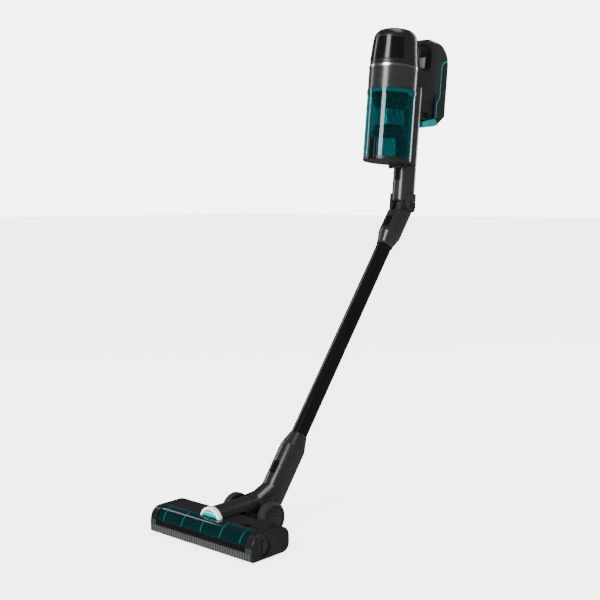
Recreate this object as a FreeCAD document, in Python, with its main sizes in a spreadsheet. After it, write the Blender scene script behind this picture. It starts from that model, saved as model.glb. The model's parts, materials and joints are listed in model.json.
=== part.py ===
import FreeCAD, Part

import math
import os
import re

import Sketcher
from FreeCAD import Placement, Rotation, Vector

# Cordless stick vacuum: floor head, swivel neck, two-piece wand with a folding
# joint, and a hand-held unit with dust cup, suction motor, grip and battery.
# Millimetres. +Z up, the floor head's front faces -Y, X = 0 is the symmetry plane.
# The origin lies on the floor under the middle of the whole object.

SIZES = {
    # stance: how the bodies lean when the vacuum is parked upright
    "wand_lean": 37.1,
    "unit_lean": 6.1,
    "wand_span": 678.4,
    "clearance": 0.3,
    "pin_play": 0.05,
    # floor head
    "head_width": 264.8,
    "head_depth": 94.5,
    "head_height": 49.5,
    "head_bottom": 4.2,
    "cap_width": 17.0,
    "cover_wall": 2.6,
    "brush_y": 29.0,
    "brush_z": 25.0,
    "brush_radius": 22.0,
    "core_radius": 13.0,
    "chamber_radius": 23.0,
    "window_wall": 2.2,
    "window_back": 34.0,
    "journal_radius": 4.0,
    "bumper_top": 28.0,
    "bumper_bottom": 5.0,
    "bumper_depth": 8.0,
    "sole_bottom": 1.6,
    "slot_back": 60.0,
    "slot_half": 90.0,
    "knob_radius": 15.5,
    "knob_depth": 9.0,
    "drive_y": 75.0,
    "drive_z": 25.0,
    "drive_radius": 13.0,
    "belt_x": 104.0,
    "belt_width": 7.0,
    "belt_wall": 1.4,
    "drive_pulley": 7.0,
    "brush_pulley": 10.5,
    "roller_radius": 5.0,
    "roller_width": 14.0,
    "roller_x": 60.0,
    "roller_y": 80.0,
    "slider_x": 88.0,
    "slider_travel": 14.0,
    # neck and rear wheels
    "neck_radius": 24.5,
    "neck_z": 43.0,
    "neck_front": 27.0,
    "neck_back": 127.0,
    "neck_bore": 17.0,
    "swivel_radius": 20.0,
    "swivel_length": 9.0,
    "lens_depth": 9.0,
    "wheel_y": 138.0,
    "wheel_radius": 31.5,
    "wheel_inner": 38.0,
    "wheel_outer": 55.0,
    "rim_radius": 25.0,
    "wheel_pin": 4.0,
    "arm_inner": 33.4,
    "arm_boss": 12.0,
    # elbow
    "hinge_y": 165.0,
    "hinge_z": 57.0,
    "collar_front": 128.0,
    "collar_back": 139.0,
    "collar_radius": 25.0,
    "barrel_radius": 26.0,
    "ear_inner": 25.4,
    "ear_radius": 8.5,
    "swing_radius": 33.0,
    "elbow_pin": 3.0,
    "bend_angle": 22.0,
    "bend_y": 150.3,
    "bend_z": 44.8,
    "wand_offset": 19.1,
    "wand_rise": 15.7,
    # wand
    "socket_radius": 25.0,
    "knuckle_bottom": -10.0,
    "socket_bottom": 13.0,
    "socket_top": 73.0,
    "taper_bottom": 97.0,
    "taper_top": 125.0,
    "tube_radius": 16.0,
    "tube_wall": 1.6,
    "tube_foot": 40.0,
    "tube_insert": 40.0,
    # folding joint
    "flex_radius": 24.0,
    "flex_bottom": 101.0,
    "flex_taper": 24.0,
    "flex_edge": 10.0,
    "fork_inner": 17.2,
    "fork_outer": 27.0,
    "fork_radius": 13.5,
    "tongue_inner": 12.6,
    "hose_radius": 11.5,
    "flex_pin": 3.2,
    "arm_top": 84.0,
    "front_edge": 13.0,
    "rear_edge": 6.0,
    # hand-held unit
    "cup_offset": 65.65,
    "cup_radius": 50.75,
    "cup_wall": 2.2,
    "lid_bottom": 85.0,
    "cup_bottom": 92.5,
    "cup_top": 232.5,
    "spine_bottom": 86.5,
    "duct_radius": 15.5,
    "duct_offset": 4.5,
    "inlet_z": 204.0,
    "inlet_radius": 10.5,
    "housing_top": 277.0,
    "housing_wall": 2.8,
    "ring_top": 282.0,
    "cap_top": 359.0,
    "cap_radius": 49.8,
    "cap_shoulder": 43.5,
    "cap_round": 20.0,
    "cap_wall": 2.2,
    "visor_bottom": 292.0,
    "visor_top": 338.0,
    "visor_span": 118.0,
    "visor_proud": 0.8,
    "motor_radius": 34.0,
    "fan_radius": 37.0,
    "fan_bottom": 241.0,
    "fan_top": 253.0,
    "shaft_radius": 4.0,
    "filter_radius": 37.0,
    "filter_bore": 20.0,
    "filter_top": 332.0,
    "drum_radius": 30.0,
    "drum_bottom": 160.0,
    "drum_top": 195.0,
    "cyclone_radius": 38.0,
    "skirt_bottom": 140.0,
    "skirt_radius": 37.0,
    "lid_hinge_y": -30.0,
    "lid_hinge_z": 81.0,
    "lid_knuckle": 3.7,
    # grip and battery
    "grip_half": 22.0,
    "grip_low_half": 18.0,
    "grip_top": 362.5,
    "grip_back": 108.0,
    "grip_corner": 45.0,
    "grip_round": 9.0,
    "seam_y": 56.0,
    "hole_front": -5.0,
    "hole_back": 36.0,
    "hole_bottom": 291.0,
    "hole_top": 347.0,
    "trigger_z": 312.0,
    "trigger_height": 24.0,
    "trigger_width": 13.0,
    "trigger_travel": 5.0,
    "pack_front": 80.0,
    "pack_low_front": 70.0,
    "pack_step": 238.0,
    "pack_top": 312.0,
    "pack_bottom": 188.0,
    "trim_wall": 2.4,
    "charge_z": 225.0,
    "charge_radius": 2.75,
    "charge_depth": 10.0,
    # release buttons
    "button_proud": 1.4,
    "button_depth": 4.0,
    "button_travel": 2.5,
    "button_width": 13.0,
}

doc = FreeCAD.newDocument("stick_vacuum")
sheet = doc.addObject("Spreadsheet::Sheet", "dim")
for row, (alias, number) in enumerate(SIZES.items(), start=1):
    sheet.set(f"A{row}", alias)
    sheet.set(f"B{row}", str(number))
    sheet.setAlias(f"B{row}", alias)
doc.recompute()

WORD = re.compile(r"[a-z][a-z0-9_]*")
TURNS = {
    "X": Rotation(Vector(0, 1, 0), 90),
    "Y": Rotation(Vector(1, 0, 0), -90),
    "Z": Rotation(),
}
nodes = []
probe = doc.addObject("Part::Vertex", "probe")


# ---------------------------------------------------------------- helpers

def size(alias):
    """The value of one driving size, in millimetres or degrees."""
    return float(sheet.get(alias))


def linked(text):
    """An expression with the sheet's name put in front of every size."""
    return WORD.sub(lambda m: "dim." + m.group() if m.group() in SIZES else m.group(), str(text))


def measured(text):
    """The number that an expression of sizes gives now."""
    probe.setExpression("X", linked(text))
    probe.recompute()
    return float(probe.X)


def bind(obj, **sizes):
    """Tie properties of an object to expressions of the driving sizes."""
    for name, text in sizes.items():
        obj.setExpression(name, linked(text))


def settle(obj, at, turn=None):
    """Turn a primitive and tie its place to expressions of sizes."""
    obj.Placement = Placement(Vector(), turn or Rotation())
    for axis, text in zip("xyz", at):
        obj.setExpression(f"Placement.Base.{axis}", linked(text))
    return obj


def box(name, low, extent):
    """A block from its low corner and its three extents."""
    obj = doc.addObject("Part::Box", name)
    bind(obj, Length=extent[0], Width=extent[1], Height=extent[2])
    return settle(obj, low)


def slab(name, half, y_range, z_range):
    """A block that is centred on the symmetry plane."""
    extent = (f"2*({half})", f"({y_range[1]})-({y_range[0]})", f"({z_range[1]})-({z_range[0]})")
    return box(name, (f"-({half})", y_range[0], z_range[0]), extent)


def cylinder(name, radius, length, at, axis="Z"):
    """A cylinder that starts at a point and runs along +X, +Y or +Z."""
    obj = doc.addObject("Part::Cylinder", name)
    bind(obj, Radius=radius, Height=length)
    return settle(obj, at, TURNS[axis])


def bar(name, radius, half, y, z):
    """A cylinder along X that is centred on the symmetry plane."""
    return cylinder(name, radius, f"2*({half})", (f"-({half})", y, z), "X")


def fuse(name, *parts):
    """One solid from several that touch."""
    obj = doc.addObject("Part::MultiFuse", name)
    obj.Shapes = list(parts)
    obj.Refine = True
    return obj


def cut(name, base, *tools):
    """A solid with the tools taken out of it."""
    obj = doc.addObject("Part::Cut", name)
    obj.Base = base
    obj.Tool = tools[0] if len(tools) == 1 else fuse(name + "_tools", *tools)
    obj.Refine = True
    return obj


def common(name, first, second):
    """What two solids share."""
    obj = doc.addObject("Part::MultiCommon", name)
    obj.Shapes = [first, second]
    return obj


def pipe(name, outer, inner, length, at, axis="Z"):
    """A round tube."""
    solid = cylinder(name + "_outer", outer, length, at, axis)
    hollow = cylinder(name + "_inner", inner, length, at, axis)
    return cut(name, solid, hollow)


def moved(name, source, place):
    """A solid in another place."""
    obj = doc.addObject("Part::Compound", name)
    obj.Links = [source]
    obj.Placement = place
    return obj


def leaned(name, source, angle):
    """A solid leaned back about the X axis through the origin."""
    return moved(name, source, tilt(angle))


def soften(name, base, radius, wanted):
    """Round the edges that the test picks."""
    base.recompute(True)
    picks = [number for number, edge in enumerate(base.Shape.Edges, start=1) if wanted(edge)]
    obj = doc.addObject("Part::Fillet", name)
    obj.Base = base
    obj.Edges = [(number, radius, radius) for number in picks]
    return obj


def rim(axis, place, tolerance=0.01):
    """A test for edges that lie flat in the plane where an axis has one value."""
    def lies_flat(edge):
        low = getattr(edge.BoundBox, axis + "Min")
        high = getattr(edge.BoundBox, axis + "Max")
        return abs(low - place) < tolerance and abs(high - place) < tolerance
    return lies_flat


def origin_plane(body, role):
    """One of a body's own origin planes."""
    return next(item for item in body.Origin.OriginFeatures if item.Role == role)


def rounded(before, corner, after, radius):
    """The arc that rounds a corner: its start, end and centre, and which way it turns."""
    here = Vector(*corner, 0)
    back = (Vector(*before, 0) - here).normalize()
    ahead = (Vector(*after, 0) - here).normalize()
    half_angle = back.getAngle(ahead) / 2
    reach = radius / math.tan(half_angle)
    centre = here + (back + ahead).normalize() * (radius / math.sin(half_angle))
    turns_left = back.cross(ahead).z < 0
    return here + back * reach, here + ahead * reach, centre, turns_left


def draw(sketch, corners):
    """A closed outline with sharp or rounded corners, every one tied to the sizes."""
    texts = [(c[0], c[1], c[2] if len(c) > 2 else None) for c in corners]
    points = [(measured(x), measured(y)) for x, y, _ in texts]
    count = len(texts)
    starts, ends, arcs = [None] * count, [None] * count, {}
    for i, (_, _, radius) in enumerate(texts):
        here = Vector(*points[i], 0)
        starts[i] = ends[i] = here
        if radius is not None:
            arc = rounded(points[i - 1], points[i], points[(i + 1) % count], measured(radius))
            ends[i], starts[i] = arc[0], arc[1]
            arcs[i] = arc
    lines = [sketch.addGeometry(Part.LineSegment(starts[i], ends[(i + 1) % count]), False)
             for i in range(count)]
    for i, (x, y, radius) in enumerate(texts):
        before, after = lines[i - 1], lines[i]
        if radius is None:
            sketch.addConstraint(Sketcher.Constraint("Coincident", before, 2, after, 1))
            fix_point(sketch, after, 1, x, y)
            continue
        first, last, centre, turns_left = arcs[i]
        a, b = (first, last) if turns_left else (last, first)
        angles = [math.atan2(p.y - centre.y, p.x - centre.x) for p in (a, b)]
        circle = Part.Circle(centre, Vector(0, 0, 1), (a - centre).Length)
        arc = sketch.addGeometry(Part.ArcOfCircle(circle, *angles), False)
        joins = (1, 2) if turns_left else (2, 1)
        corner = sketch.addGeometry(Part.Point(Vector(*points[i], 0)), True)
        fix_point(sketch, corner, 1, x, y)
        sketch.addConstraint(Sketcher.Constraint("PointOnObject", corner, 1, before))
        sketch.addConstraint(Sketcher.Constraint("PointOnObject", corner, 1, after))
        sketch.addConstraint(Sketcher.Constraint("Tangent", before, 2, arc, joins[0]))
        sketch.addConstraint(Sketcher.Constraint("Tangent", after, 1, arc, joins[1]))
        number = sketch.addConstraint(Sketcher.Constraint("Radius", arc, measured(radius)))
        sketch.setExpression(f"Constraints[{number}]", linked(radius))


def fix_point(sketch, geometry, end, x, y):
    """Tie one point of a sketch to two expressions."""
    for kind, text in (("DistanceX", x), ("DistanceY", y)):
        rule = Sketcher.Constraint(kind, -1, 1, geometry, end, measured(text))
        number = sketch.addConstraint(rule)
        sketch.setExpression(f"Constraints[{number}]", linked(text))


def sketched(name, role, shift, corners):
    """A body with one closed sketch on a plane of its own, moved by a shift."""
    body = doc.addObject("PartDesign::Body", name)
    sketch = body.newObject("Sketcher::SketchObject", name + "_sketch")
    sketch.AttachmentSupport = (origin_plane(body, role), [""])
    sketch.MapMode = "FlatFace"
    for axis, text in zip("xyz", shift):
        sketch.setExpression(f"AttachmentOffset.Base.{axis}", linked(text))
    draw(sketch, corners)
    return body, sketch


def side_plate(name, corners, start, length):
    """A pad along +X of an outline given as (y, z) corners."""
    body, sketch = sketched(name, "YZ_Plane", ("0", "0", start), corners)
    pad = body.newObject("PartDesign::Pad", name + "_pad")
    pad.Profile = sketch
    bind(pad, Length=length)
    return body


def front_plate(name, corners, front, length):
    """A pad along -Y of an outline given as (x, z) corners, from its rear face."""
    body, sketch = sketched(name, "XZ_Plane", ("0", "0", f"-({front})"), corners)
    pad = body.newObject("PartDesign::Pad", name + "_pad")
    pad.Profile = sketch
    bind(pad, Length=length)
    return body


def turned(name, corners, y):
    """A full turn, about a vertical axis at y, of an outline given as (radius, z)."""
    body, sketch = sketched(name, "XZ_Plane", ("0", "0", f"-({y})"), corners)
    turn = body.newObject("PartDesign::Revolution", name + "_turn")
    turn.Profile = sketch
    turn.ReferenceAxis = (sketch, ["V_Axis"])
    turn.Angle = 360
    return body


def wheel_turned(name, corners, y, z):
    """A full turn, about an axis along X, of an outline given as (x, radius)."""
    body, sketch = sketched(name, "XZ_Plane", ("0", z, f"-({y})"), corners)
    turn = body.newObject("PartDesign::Revolution", name + "_turn")
    turn.Profile = sketch
    turn.ReferenceAxis = (sketch, ["H_Axis"])
    turn.Angle = 360
    return body


def keep(label, obj, frame):
    """Register a finished sub-part under its node name, in its own frame."""
    nodes.append((label, obj, frame))


# ---------------------------------------------------------------- frames

def tilt(angle):
    """Lean back about the X axis."""
    return Placement(Vector(), Rotation(Vector(1, 0, 0), -angle))


def shift(x, y, z):
    """A plain move."""
    return Placement(Vector(x, y, z), Rotation())


hinge = shift(0, size("hinge_y"), size("hinge_z"))
wand_foot = hinge * tilt(size("wand_lean")) * shift(0, size("wand_offset"), size("wand_rise"))
flex_pivot = wand_foot * shift(0, 0, size("wand_span"))
unit_foot = flex_pivot * tilt(size("unit_lean") - size("wand_lean"))
turn_radius = size("grip_corner")
turn_centre = Vector(0, size("grip_back") - turn_radius, size("grip_top") - turn_radius)
rear = unit_foot.multVec(turn_centre).y + turn_radius
HEAD = shift(0, -rear / 2, 0)
WAND = HEAD * wand_foot
FLEX = HEAD * flex_pivot
UNIT = HEAD * unit_foot


# ---------------------------------------------------------------- floor head

def head_profile(inset, front):
    """The head's rear outline as (y, z) corners, inset from the outside."""
    low = "head_bottom"
    return [
        (front, low),
        (f"head_depth-{inset}", low, f"15-{inset}"),
        (f"head_depth-{inset}", f"head_height-{inset}", f"20-{inset}"),
        (front, f"head_height-{inset}"),
    ]


inner_half = "(head_width/2-cap_width-clearance)"
mouth_half = f"({inner_half}-3)"

head_block = side_plate("head_block", head_profile("cover_wall", "window_back+1"), f"-{inner_half}",
                        f"2*{inner_half}")
chamber = bar("chamber", "chamber_radius", mouth_half, "brush_y", "brush_z")
chamber_mouth = slab("chamber_mouth", mouth_half, ("0", "brush_y+chamber_radius-2"), ("0", "12"))
suction_slot = slab("suction_slot", "slot_half", ("brush_y+15", "slot_back"), ("0", "26"))
throat = cylinder("throat", "10", "head_depth", ("0", "brush_y+10", "head_height-19"), "Y")
drive_bay = cylinder("drive_bay", "drive_radius+clearance", "72", ("-92", "drive_y", "drive_z"), "X")
belt_bay = side_plate("belt_bay", [
    ("brush_y", "brush_z-chamber_radius"),
    ("drive_y+12", "drive_z-12", "8"),
    ("drive_y+12", "drive_z+12", "8"),
    ("brush_y", "brush_z+chamber_radius-3"),
], "-(belt_x+4)", "belt_width+9")
roller_bays = [
    box(f"roller_bay_{side}", (f"{sign}roller_x-roller_width/2-1", "roller_y-roller_radius-1.5", "0"),
        ("roller_width+2", "2*roller_radius+3", "roller_radius+6.5"))
    for side, sign in (("left", "-"), ("right", ""))
]
head_shell = cut("head_shell", head_block, chamber, chamber_mouth, suction_slot, throat, drive_bay,
                 belt_bay, *roller_bays)
keep("head_housing", head_shell, HEAD)

cover_outer = side_plate("cover_outer", head_profile("0", "window_back+clearance"), f"-{inner_half}",
                         f"2*{inner_half}")
cover_inner = side_plate("cover_inner", head_profile("cover_wall", "window_back-1"),
                         f"-{inner_half}-1", f"2*{inner_half}+2")
cover_skirt = slab("cover_skirt", "head_width", ("0", "2*head_depth"), ("0", "26"))
slider_slot = box("slider_slot", ("slider_x-22", "window_back+5", "0"), ("44", "3.4", "head_height+5"))
keep("top_cover", cut("top_cover_solid", cover_outer, cover_inner, cover_skirt, slider_slot,
                      throat), HEAD)

slider_tab = slab("slider_tab_raw", "4.5", ("0", "7.4"), ("0", "1.2"))
slider_key = slab("slider_key_raw", "3.5", ("2.3", "5.1"), ("-1.6", "0"))
slider = fuse("slider_solid", slider_tab, slider_key)
keep("window_slider", slider, HEAD * shift(size("slider_x") - size("slider_travel") / 2,
                                           size("window_back") + 3,
                                           size("head_height") + 0.2))

window_ring = pipe("window_ring", "chamber_radius+window_wall", "chamber_radius",
                   f"2*{inner_half}", (f"-{inner_half}", "brush_y", "brush_z"), "X")
window_reach = slab("window_reach", "head_width", ("0", "window_back"), ("bumper_top+clearance", "90"))
keep("brush_window", common("window_solid", window_ring, window_reach), HEAD)


def end_cap(side, low):
    """One end cap with a bearing bore for the brush roll."""
    plate = side_plate(f"cap_plate_{side}", [
        ("2", "bumper_bottom-2", "4"),
        ("head_depth", "bumper_bottom-2", "16"),
        ("head_depth", "head_height", "20"),
        ("2", "head_height", "22"),
    ], low, "cap_width")
    face = size("head_width") / 2 * (1 if side == "right" else -1)
    return soften(f"cap_round_{side}", plate, 3.0, rim("X", face))


left_cap = end_cap("left", "-head_width/2")
left_bore = cylinder("left_bore", "journal_radius+pin_play", "cap_width",
                     ("-(head_width/2-4)", "brush_y", "brush_z"), "X")
keep("end_cap_left", cut("left_cap_solid", left_cap, left_bore), HEAD)
right_cap = end_cap("right", "head_width/2-cap_width")
right_bore = cylinder("right_bore", "journal_radius+2", "cap_width",
                      ("head_width/2-cap_width", "brush_y", "brush_z"), "X")
knob_well = cylinder("knob_well", "knob_radius+clearance", "knob_depth+1",
                     ("head_width/2-knob_depth", "brush_y", "brush_z"), "X")
keep("end_cap_right", cut("right_cap_solid", right_cap, right_bore, knob_well), HEAD)

knob_disc = cylinder("knob_disc", "knob_radius", "knob_depth-3",
                     ("head_width/2-knob_depth+clearance", "brush_y", "brush_z"), "X")
knob_grip = box("knob_grip", ("head_width/2-4", "brush_y-2.5", "brush_z-11"), ("3.4", "5", "22"))
knob_bore = cylinder("knob_bore", "journal_radius+pin_play", "5.5",
                     ("head_width/2-knob_depth-1", "brush_y", "brush_z"), "X")
keep("brush_knob", cut("knob_solid", fuse("knob_raw", knob_disc, knob_grip), knob_bore), HEAD)

bumper_bar = slab("bumper_bar", "head_width/2-2", ("0", "bumper_depth"), ("bumper_bottom", "bumper_top"))
bumper_soft = soften("bumper_soft", bumper_bar, 3.0, rim("Y", 0.0))
bumper_well = bar("bumper_well", "chamber_radius+clearance", mouth_half, "brush_y", "brush_z")
bumper_ends = [box(f"bumper_end_{side}", (low, "2-clearance", "0"), ("cap_width+3+clearance", "30", "90"))
               for side, low in (("left", "-head_width/2-3"), ("right", "head_width/2-cap_width-clearance"))]
keep("front_bumper", cut("bumper_solid", bumper_soft, bumper_well, *bumper_ends), HEAD)

sole = slab("sole_raw", inner_half, ("bumper_depth+clearance", "head_depth-12"),
            ("sole_bottom", "head_bottom"))
sole_mouth = slab("sole_mouth", mouth_half, ("brush_y-9", "brush_y+15"), ("0", "9"))
sole_slot = slab("sole_slot", "slot_half", ("brush_y+12", "slot_back"), ("0", "9"))
keep("sole_plate", cut("sole_solid", sole, sole_mouth, sole_slot, *roller_bays), HEAD)

for side, sign in (("left", "-"), ("right", "")):
    tread = cylinder(f"roller_tread_{side}", "roller_radius", "roller_width",
                     (f"{sign}roller_x-roller_width/2", "roller_y", "roller_radius"), "X")
    stub = cylinder(f"roller_stub_{side}", "1.5", "roller_width+1.6",
                    (f"{sign}roller_x-roller_width/2-0.8", "roller_y", "roller_radius"), "X")
    keep(f"roller_{side}", fuse(f"roller_solid_{side}", tread, stub), HEAD)

motor_can = cylinder("motor_can", "drive_radius", "64", ("-88", "drive_y", "drive_z"), "X")
motor_hole = cylinder("motor_hole", "2+pin_play", "20", ("-90", "drive_y", "drive_z"), "X")
keep("brush_motor", cut("brush_motor_solid", motor_can, motor_hole), HEAD)
rotor_shaft = cylinder("rotor_shaft", "2", "20", ("-(belt_x+1)", "drive_y", "drive_z"), "X")
rotor_wheel = cylinder("rotor_wheel", "drive_pulley", "belt_width",
                       ("-(belt_x+clearance)", "drive_y", "drive_z"), "X")
keep("motor_rotor", fuse("rotor_solid", rotor_shaft, rotor_wheel), HEAD)

core_rod = bar("core_rod", "core_radius", f"{mouth_half}-1", "brush_y", "brush_z")
core_pins = cylinder("core_pins", "journal_radius", "head_width-9.8",
                     ("-(head_width/2-5)", "brush_y", "brush_z"), "X")
groove = pipe("core_groove", "core_radius+5", "brush_pulley", "belt_width+1",
              ("-(belt_x+0.5)", "brush_y", "brush_z"), "X")
keep("brush_core", fuse("core_solid", cut("core_cut", core_rod, groove), core_pins), HEAD)
bristle_low = "-(belt_x-belt_width-3)"
bristle_length = f"belt_x-belt_width-3+{mouth_half}-2"
keep("brush_bristles", pipe("bristle_ring", "brush_radius", "core_radius", bristle_length,
                            (bristle_low, "brush_y", "brush_z"), "X"), HEAD)


def belt_loop():
    """A flat belt round both pulleys, with straight runs tangent to each."""
    near = Vector(-size("belt_x"), size("brush_y"), size("brush_z"))
    far = Vector(-size("belt_x"), size("drive_y"), size("drive_z"))
    big = size("brush_pulley") + size("clearance")
    small = size("drive_pulley") + size("clearance")
    along = (far - near).normalize()
    up = Vector(1, 0, 0).cross(along)
    fall = math.asin((big - small) / (far - near).Length)

    def wire(grow):
        points = []
        for centre, radius in ((near, big + grow), (far, small + grow)):
            for sign in (1, -1):
                normal = along * math.sin(fall) + up * (sign * math.cos(fall))
                points.append(centre + normal * radius)
        far_tip = far + along * (small + grow)
        near_tip = near - along * (big + grow)
        return Part.Wire([
            Part.makeLine(points[0], points[2]),
            Part.Arc(points[2], far_tip, points[3]).toShape(),
            Part.makeLine(points[3], points[1]),
            Part.Arc(points[1], near_tip, points[0]).toShape(),
        ])

    outer = Part.Face(wire(size("belt_wall")))
    inner = Part.Face(wire(0))
    return outer.cut(inner).extrude(Vector(size("belt_width") - 0.8, 0, 0))


belt = doc.addObject("Part::Feature", "belt")
belt.Shape = belt_loop()
keep("drive_belt", belt, HEAD)


# ---------------------------------------------------------------- neck and wheels

neck_top = cylinder("neck_top", "neck_radius", "neck_back-neck_front-lens_depth",
                    ("0", "neck_front+lens_depth", "neck_z"), "Y")
window_top = "brush_z+chamber_radius+window_wall"
neck_seat = slab("neck_seat", "2*neck_radius", ("0", "head_depth+clearance"),
                 ("0", f"{window_top}+clearance"))
neck_hollow = cylinder("neck_hollow", "neck_bore", "neck_back", ("0", "neck_front+16", "neck_z"), "Y")
swivel = cylinder("swivel", "swivel_radius-pin_play", "swivel_length+6", ("0", "neck_back-6", "neck_z"), "Y")
neck_pipe = fuse("neck_pipe", cut("neck_upper", neck_top, neck_seat), swivel)
keep("neck_duct", cut("neck_solid", neck_pipe, neck_hollow), HEAD)

frame_disc = cylinder("frame_disc", "neck_radius+1", "lens_depth-clearance",
                      ("0", "neck_front", "neck_z"), "Y")
frame_soft = soften("frame_soft", frame_disc, 2.0, rim("Y", size("neck_front")))
frame_seat = slab("frame_seat", "2*neck_radius", ("0", "head_depth"), ("0", f"{window_top}+clearance"))
frame_well = cylinder("frame_well", "neck_radius-3.4", "lens_depth", ("0", "neck_front-1", "neck_z"), "Y")
keep("lens_frame", cut("lens_frame_solid", frame_soft, frame_seat, frame_well), HEAD)
lens_disc = cylinder("lens_disc", "neck_radius-3.6", "3", ("0", "neck_front+1", "neck_z"), "Y")
lens_seat = slab("lens_seat", "2*neck_radius", ("0", "head_depth"), ("0", f"{window_top}+clearance+0.8"))
keep("headlight_lens", cut("lens_solid", lens_disc, lens_seat), HEAD)

bridge = slab("bridge", "arm_inner+4.2", ("head_depth+1", "wheel_y-24"), ("14", "neck_z"))
bridge_arms = [side_plate(f"bridge_arm_{side}", [
    ("wheel_y-26", "wheel_radius-arm_boss", "1"),
    ("wheel_y+arm_boss", "wheel_radius-arm_boss", "arm_boss-0.5"),
    ("wheel_y+arm_boss", "wheel_radius+arm_boss", "arm_boss-0.5"),
    ("wheel_y-26", "wheel_radius+arm_boss", "1"),
], low, "4.2") for side, low in (("left", "-(arm_inner+4.2)"), ("right", "arm_inner"))]
bridge_pins = [cylinder(f"bridge_pin_{side}", "wheel_pin", "wheel_outer-arm_inner-5",
                        (low, "wheel_y", "wheel_radius"), "X")
               for side, low in (("left", "-(wheel_outer-5)"), ("right", "arm_inner"))]
bridge_neck = cylinder("bridge_neck", "neck_radius+clearance", "2*neck_back", ("0", "0", "neck_z"), "Y")
bridge_bar = cut("bridge_bar", bridge, bridge_neck)
keep("wheel_carrier", fuse("carrier_solid", bridge_bar, *bridge_arms, *bridge_pins), HEAD)

for side, sign in (("left", "-"), ("right", "")):
    disc = wheel_turned(f"wheel_disc_{side}", [
        (f"{sign}(wheel_inner+1)", "wheel_pin+pin_play"),
        (f"{sign}(wheel_outer-1.5)", "wheel_pin+pin_play"),
        (f"{sign}(wheel_outer+0.8)", "wheel_pin+5", "0.8"),
        (f"{sign}(wheel_outer-2)", "rim_radius"),
        (f"{sign}(wheel_inner+1)", "rim_radius"),
    ], "wheel_y", "wheel_radius")
    keep(f"wheel_{side}", disc, HEAD)
    tyre = wheel_turned(f"tyre_ring_{side}", [
        (f"{sign}wheel_inner", "rim_radius"),
        (f"{sign}wheel_inner", "wheel_radius", "3"),
        (f"{sign}(wheel_outer-0.5)", "wheel_radius", "5.5"),
        (f"{sign}(wheel_outer-0.5)", "rim_radius"),
    ], "wheel_y", "wheel_radius")
    keep(f"tyre_{side}", tyre, HEAD)


# ---------------------------------------------------------------- elbow

collar_ring = cylinder("collar_ring", "collar_radius", "collar_back-collar_front+14",
                       ("0", "collar_front", "neck_z"), "Y")
ears = [side_plate(f"ear_{side}", [
    ("collar_back-2", "neck_z-6"),
    ("hinge_y", "hinge_z-ear_radius", "4"),
    ("hinge_y+ear_radius", "hinge_z-ear_radius", "ear_radius-1.6"),
    ("hinge_y+ear_radius", "hinge_z+ear_radius", "ear_radius-1.6"),
    ("collar_back-2", "neck_z+17"),
], low, "swing_radius-ear_inner") for side, low in (("left", "-swing_radius"), ("right", "ear_inner"))]
ear_pair = fuse("ear_pair", *ears)
ear_limit = cylinder("ear_limit", "swing_radius", "head_depth", ("0", "collar_front", "neck_z"), "Y")
ear_web = slab("ear_web", "swing_radius", ("collar_back-7", "collar_back+1.2"), ("neck_z-9", "neck_z+16"))
ears_cut = common("ears_cut", fuse("ears_web", ear_pair, ear_web), ear_limit)
collar_raw = fuse("collar_raw", collar_ring, ears_cut)
barrel_well = bar("barrel_well", "barrel_radius+clearance", "ear_inner", "hinge_y", "hinge_z")
collar_bore = cylinder("collar_bore", "swivel_radius", "swivel_length+2",
                       ("0", "collar_front-1", "neck_z"), "Y")
collar_duct = cylinder("collar_duct", "neck_bore-2", "60", ("0", "collar_front", "neck_z"), "Y")
collar_pins = bar("collar_pin_bore", "elbow_pin", "swing_radius", "hinge_y", "hinge_z")
keep("elbow_collar", cut("collar_solid", collar_raw, barrel_well, collar_bore, collar_duct, collar_pins),
     HEAD)
pin_half = "(ear_inner+3.2)"
pin_rod = bar("pin_rod", "elbow_pin", pin_half, "hinge_y", "hinge_z")
pin_gap = slab("pin_gap", "ear_inner-8", ("0", "2*hinge_y"), ("0", "2*hinge_z"))
keep("elbow_pins", cut("elbow_pins_solid", pin_rod, pin_gap), HEAD)

barrel = bar("barrel", "barrel_radius", "ear_inner-clearance", "-wand_offset", "-wand_rise")
barrel_soft = soften("barrel_soft", barrel, 4.0, lambda edge: edge.Curve.TypeId == "Part::GeomCircle")
bend_frame = wand_foot.inverse() * shift(0, size("bend_y"), size("bend_z")) * tilt(-size("bend_angle"))
bend_tube = moved("bend_tube", cylinder("bend_round", "collar_radius", "120", ("0", "-60", "0"), "Y"),
                  bend_frame)
bend_air = moved("bend_air", cylinder("bend_bore", "tube_radius-4", "90", ("0", "-60", "0"), "Y"),
                 bend_frame)
knuckle_tube = cylinder("knuckle_tube", "socket_radius", "socket_bottom-knuckle_bottom",
                        ("0", "0", "knuckle_bottom"))
knuckle_air = cylinder("knuckle_air", "tube_radius-2", "2*socket_bottom", ("0", "0", "knuckle_bottom+7"))
barrel_pins = bar("barrel_pin_bore", "elbow_pin+pin_play", "ear_inner", "-wand_offset", "-wand_rise")
knuckle_bend = common("knuckle_bend", barrel_soft, bend_tube)
keep("elbow_knuckle", cut("knuckle_solid", fuse("knuckle_raw", knuckle_bend, knuckle_tube), knuckle_air,
                          bend_air, barrel_pins), WAND)


# ---------------------------------------------------------------- wand

def button_block(name, low, length, radius, gap="0", room="0"):
    """A block on the front of a tube, with a gap on every side and room behind it."""
    return box(name, (f"-button_width/2-{gap}", f"-({radius})-button_proud-{gap}", f"{low}-{gap}"),
               (f"button_width+2*{gap}", f"button_depth+button_proud+{gap}+{room}", f"{length}+2*{gap}"))


def button_well(name, low, length, radius):
    """The hole that a press button moves in."""
    return button_block(name, low, length, radius, "clearance", "button_travel+clearance")


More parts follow.
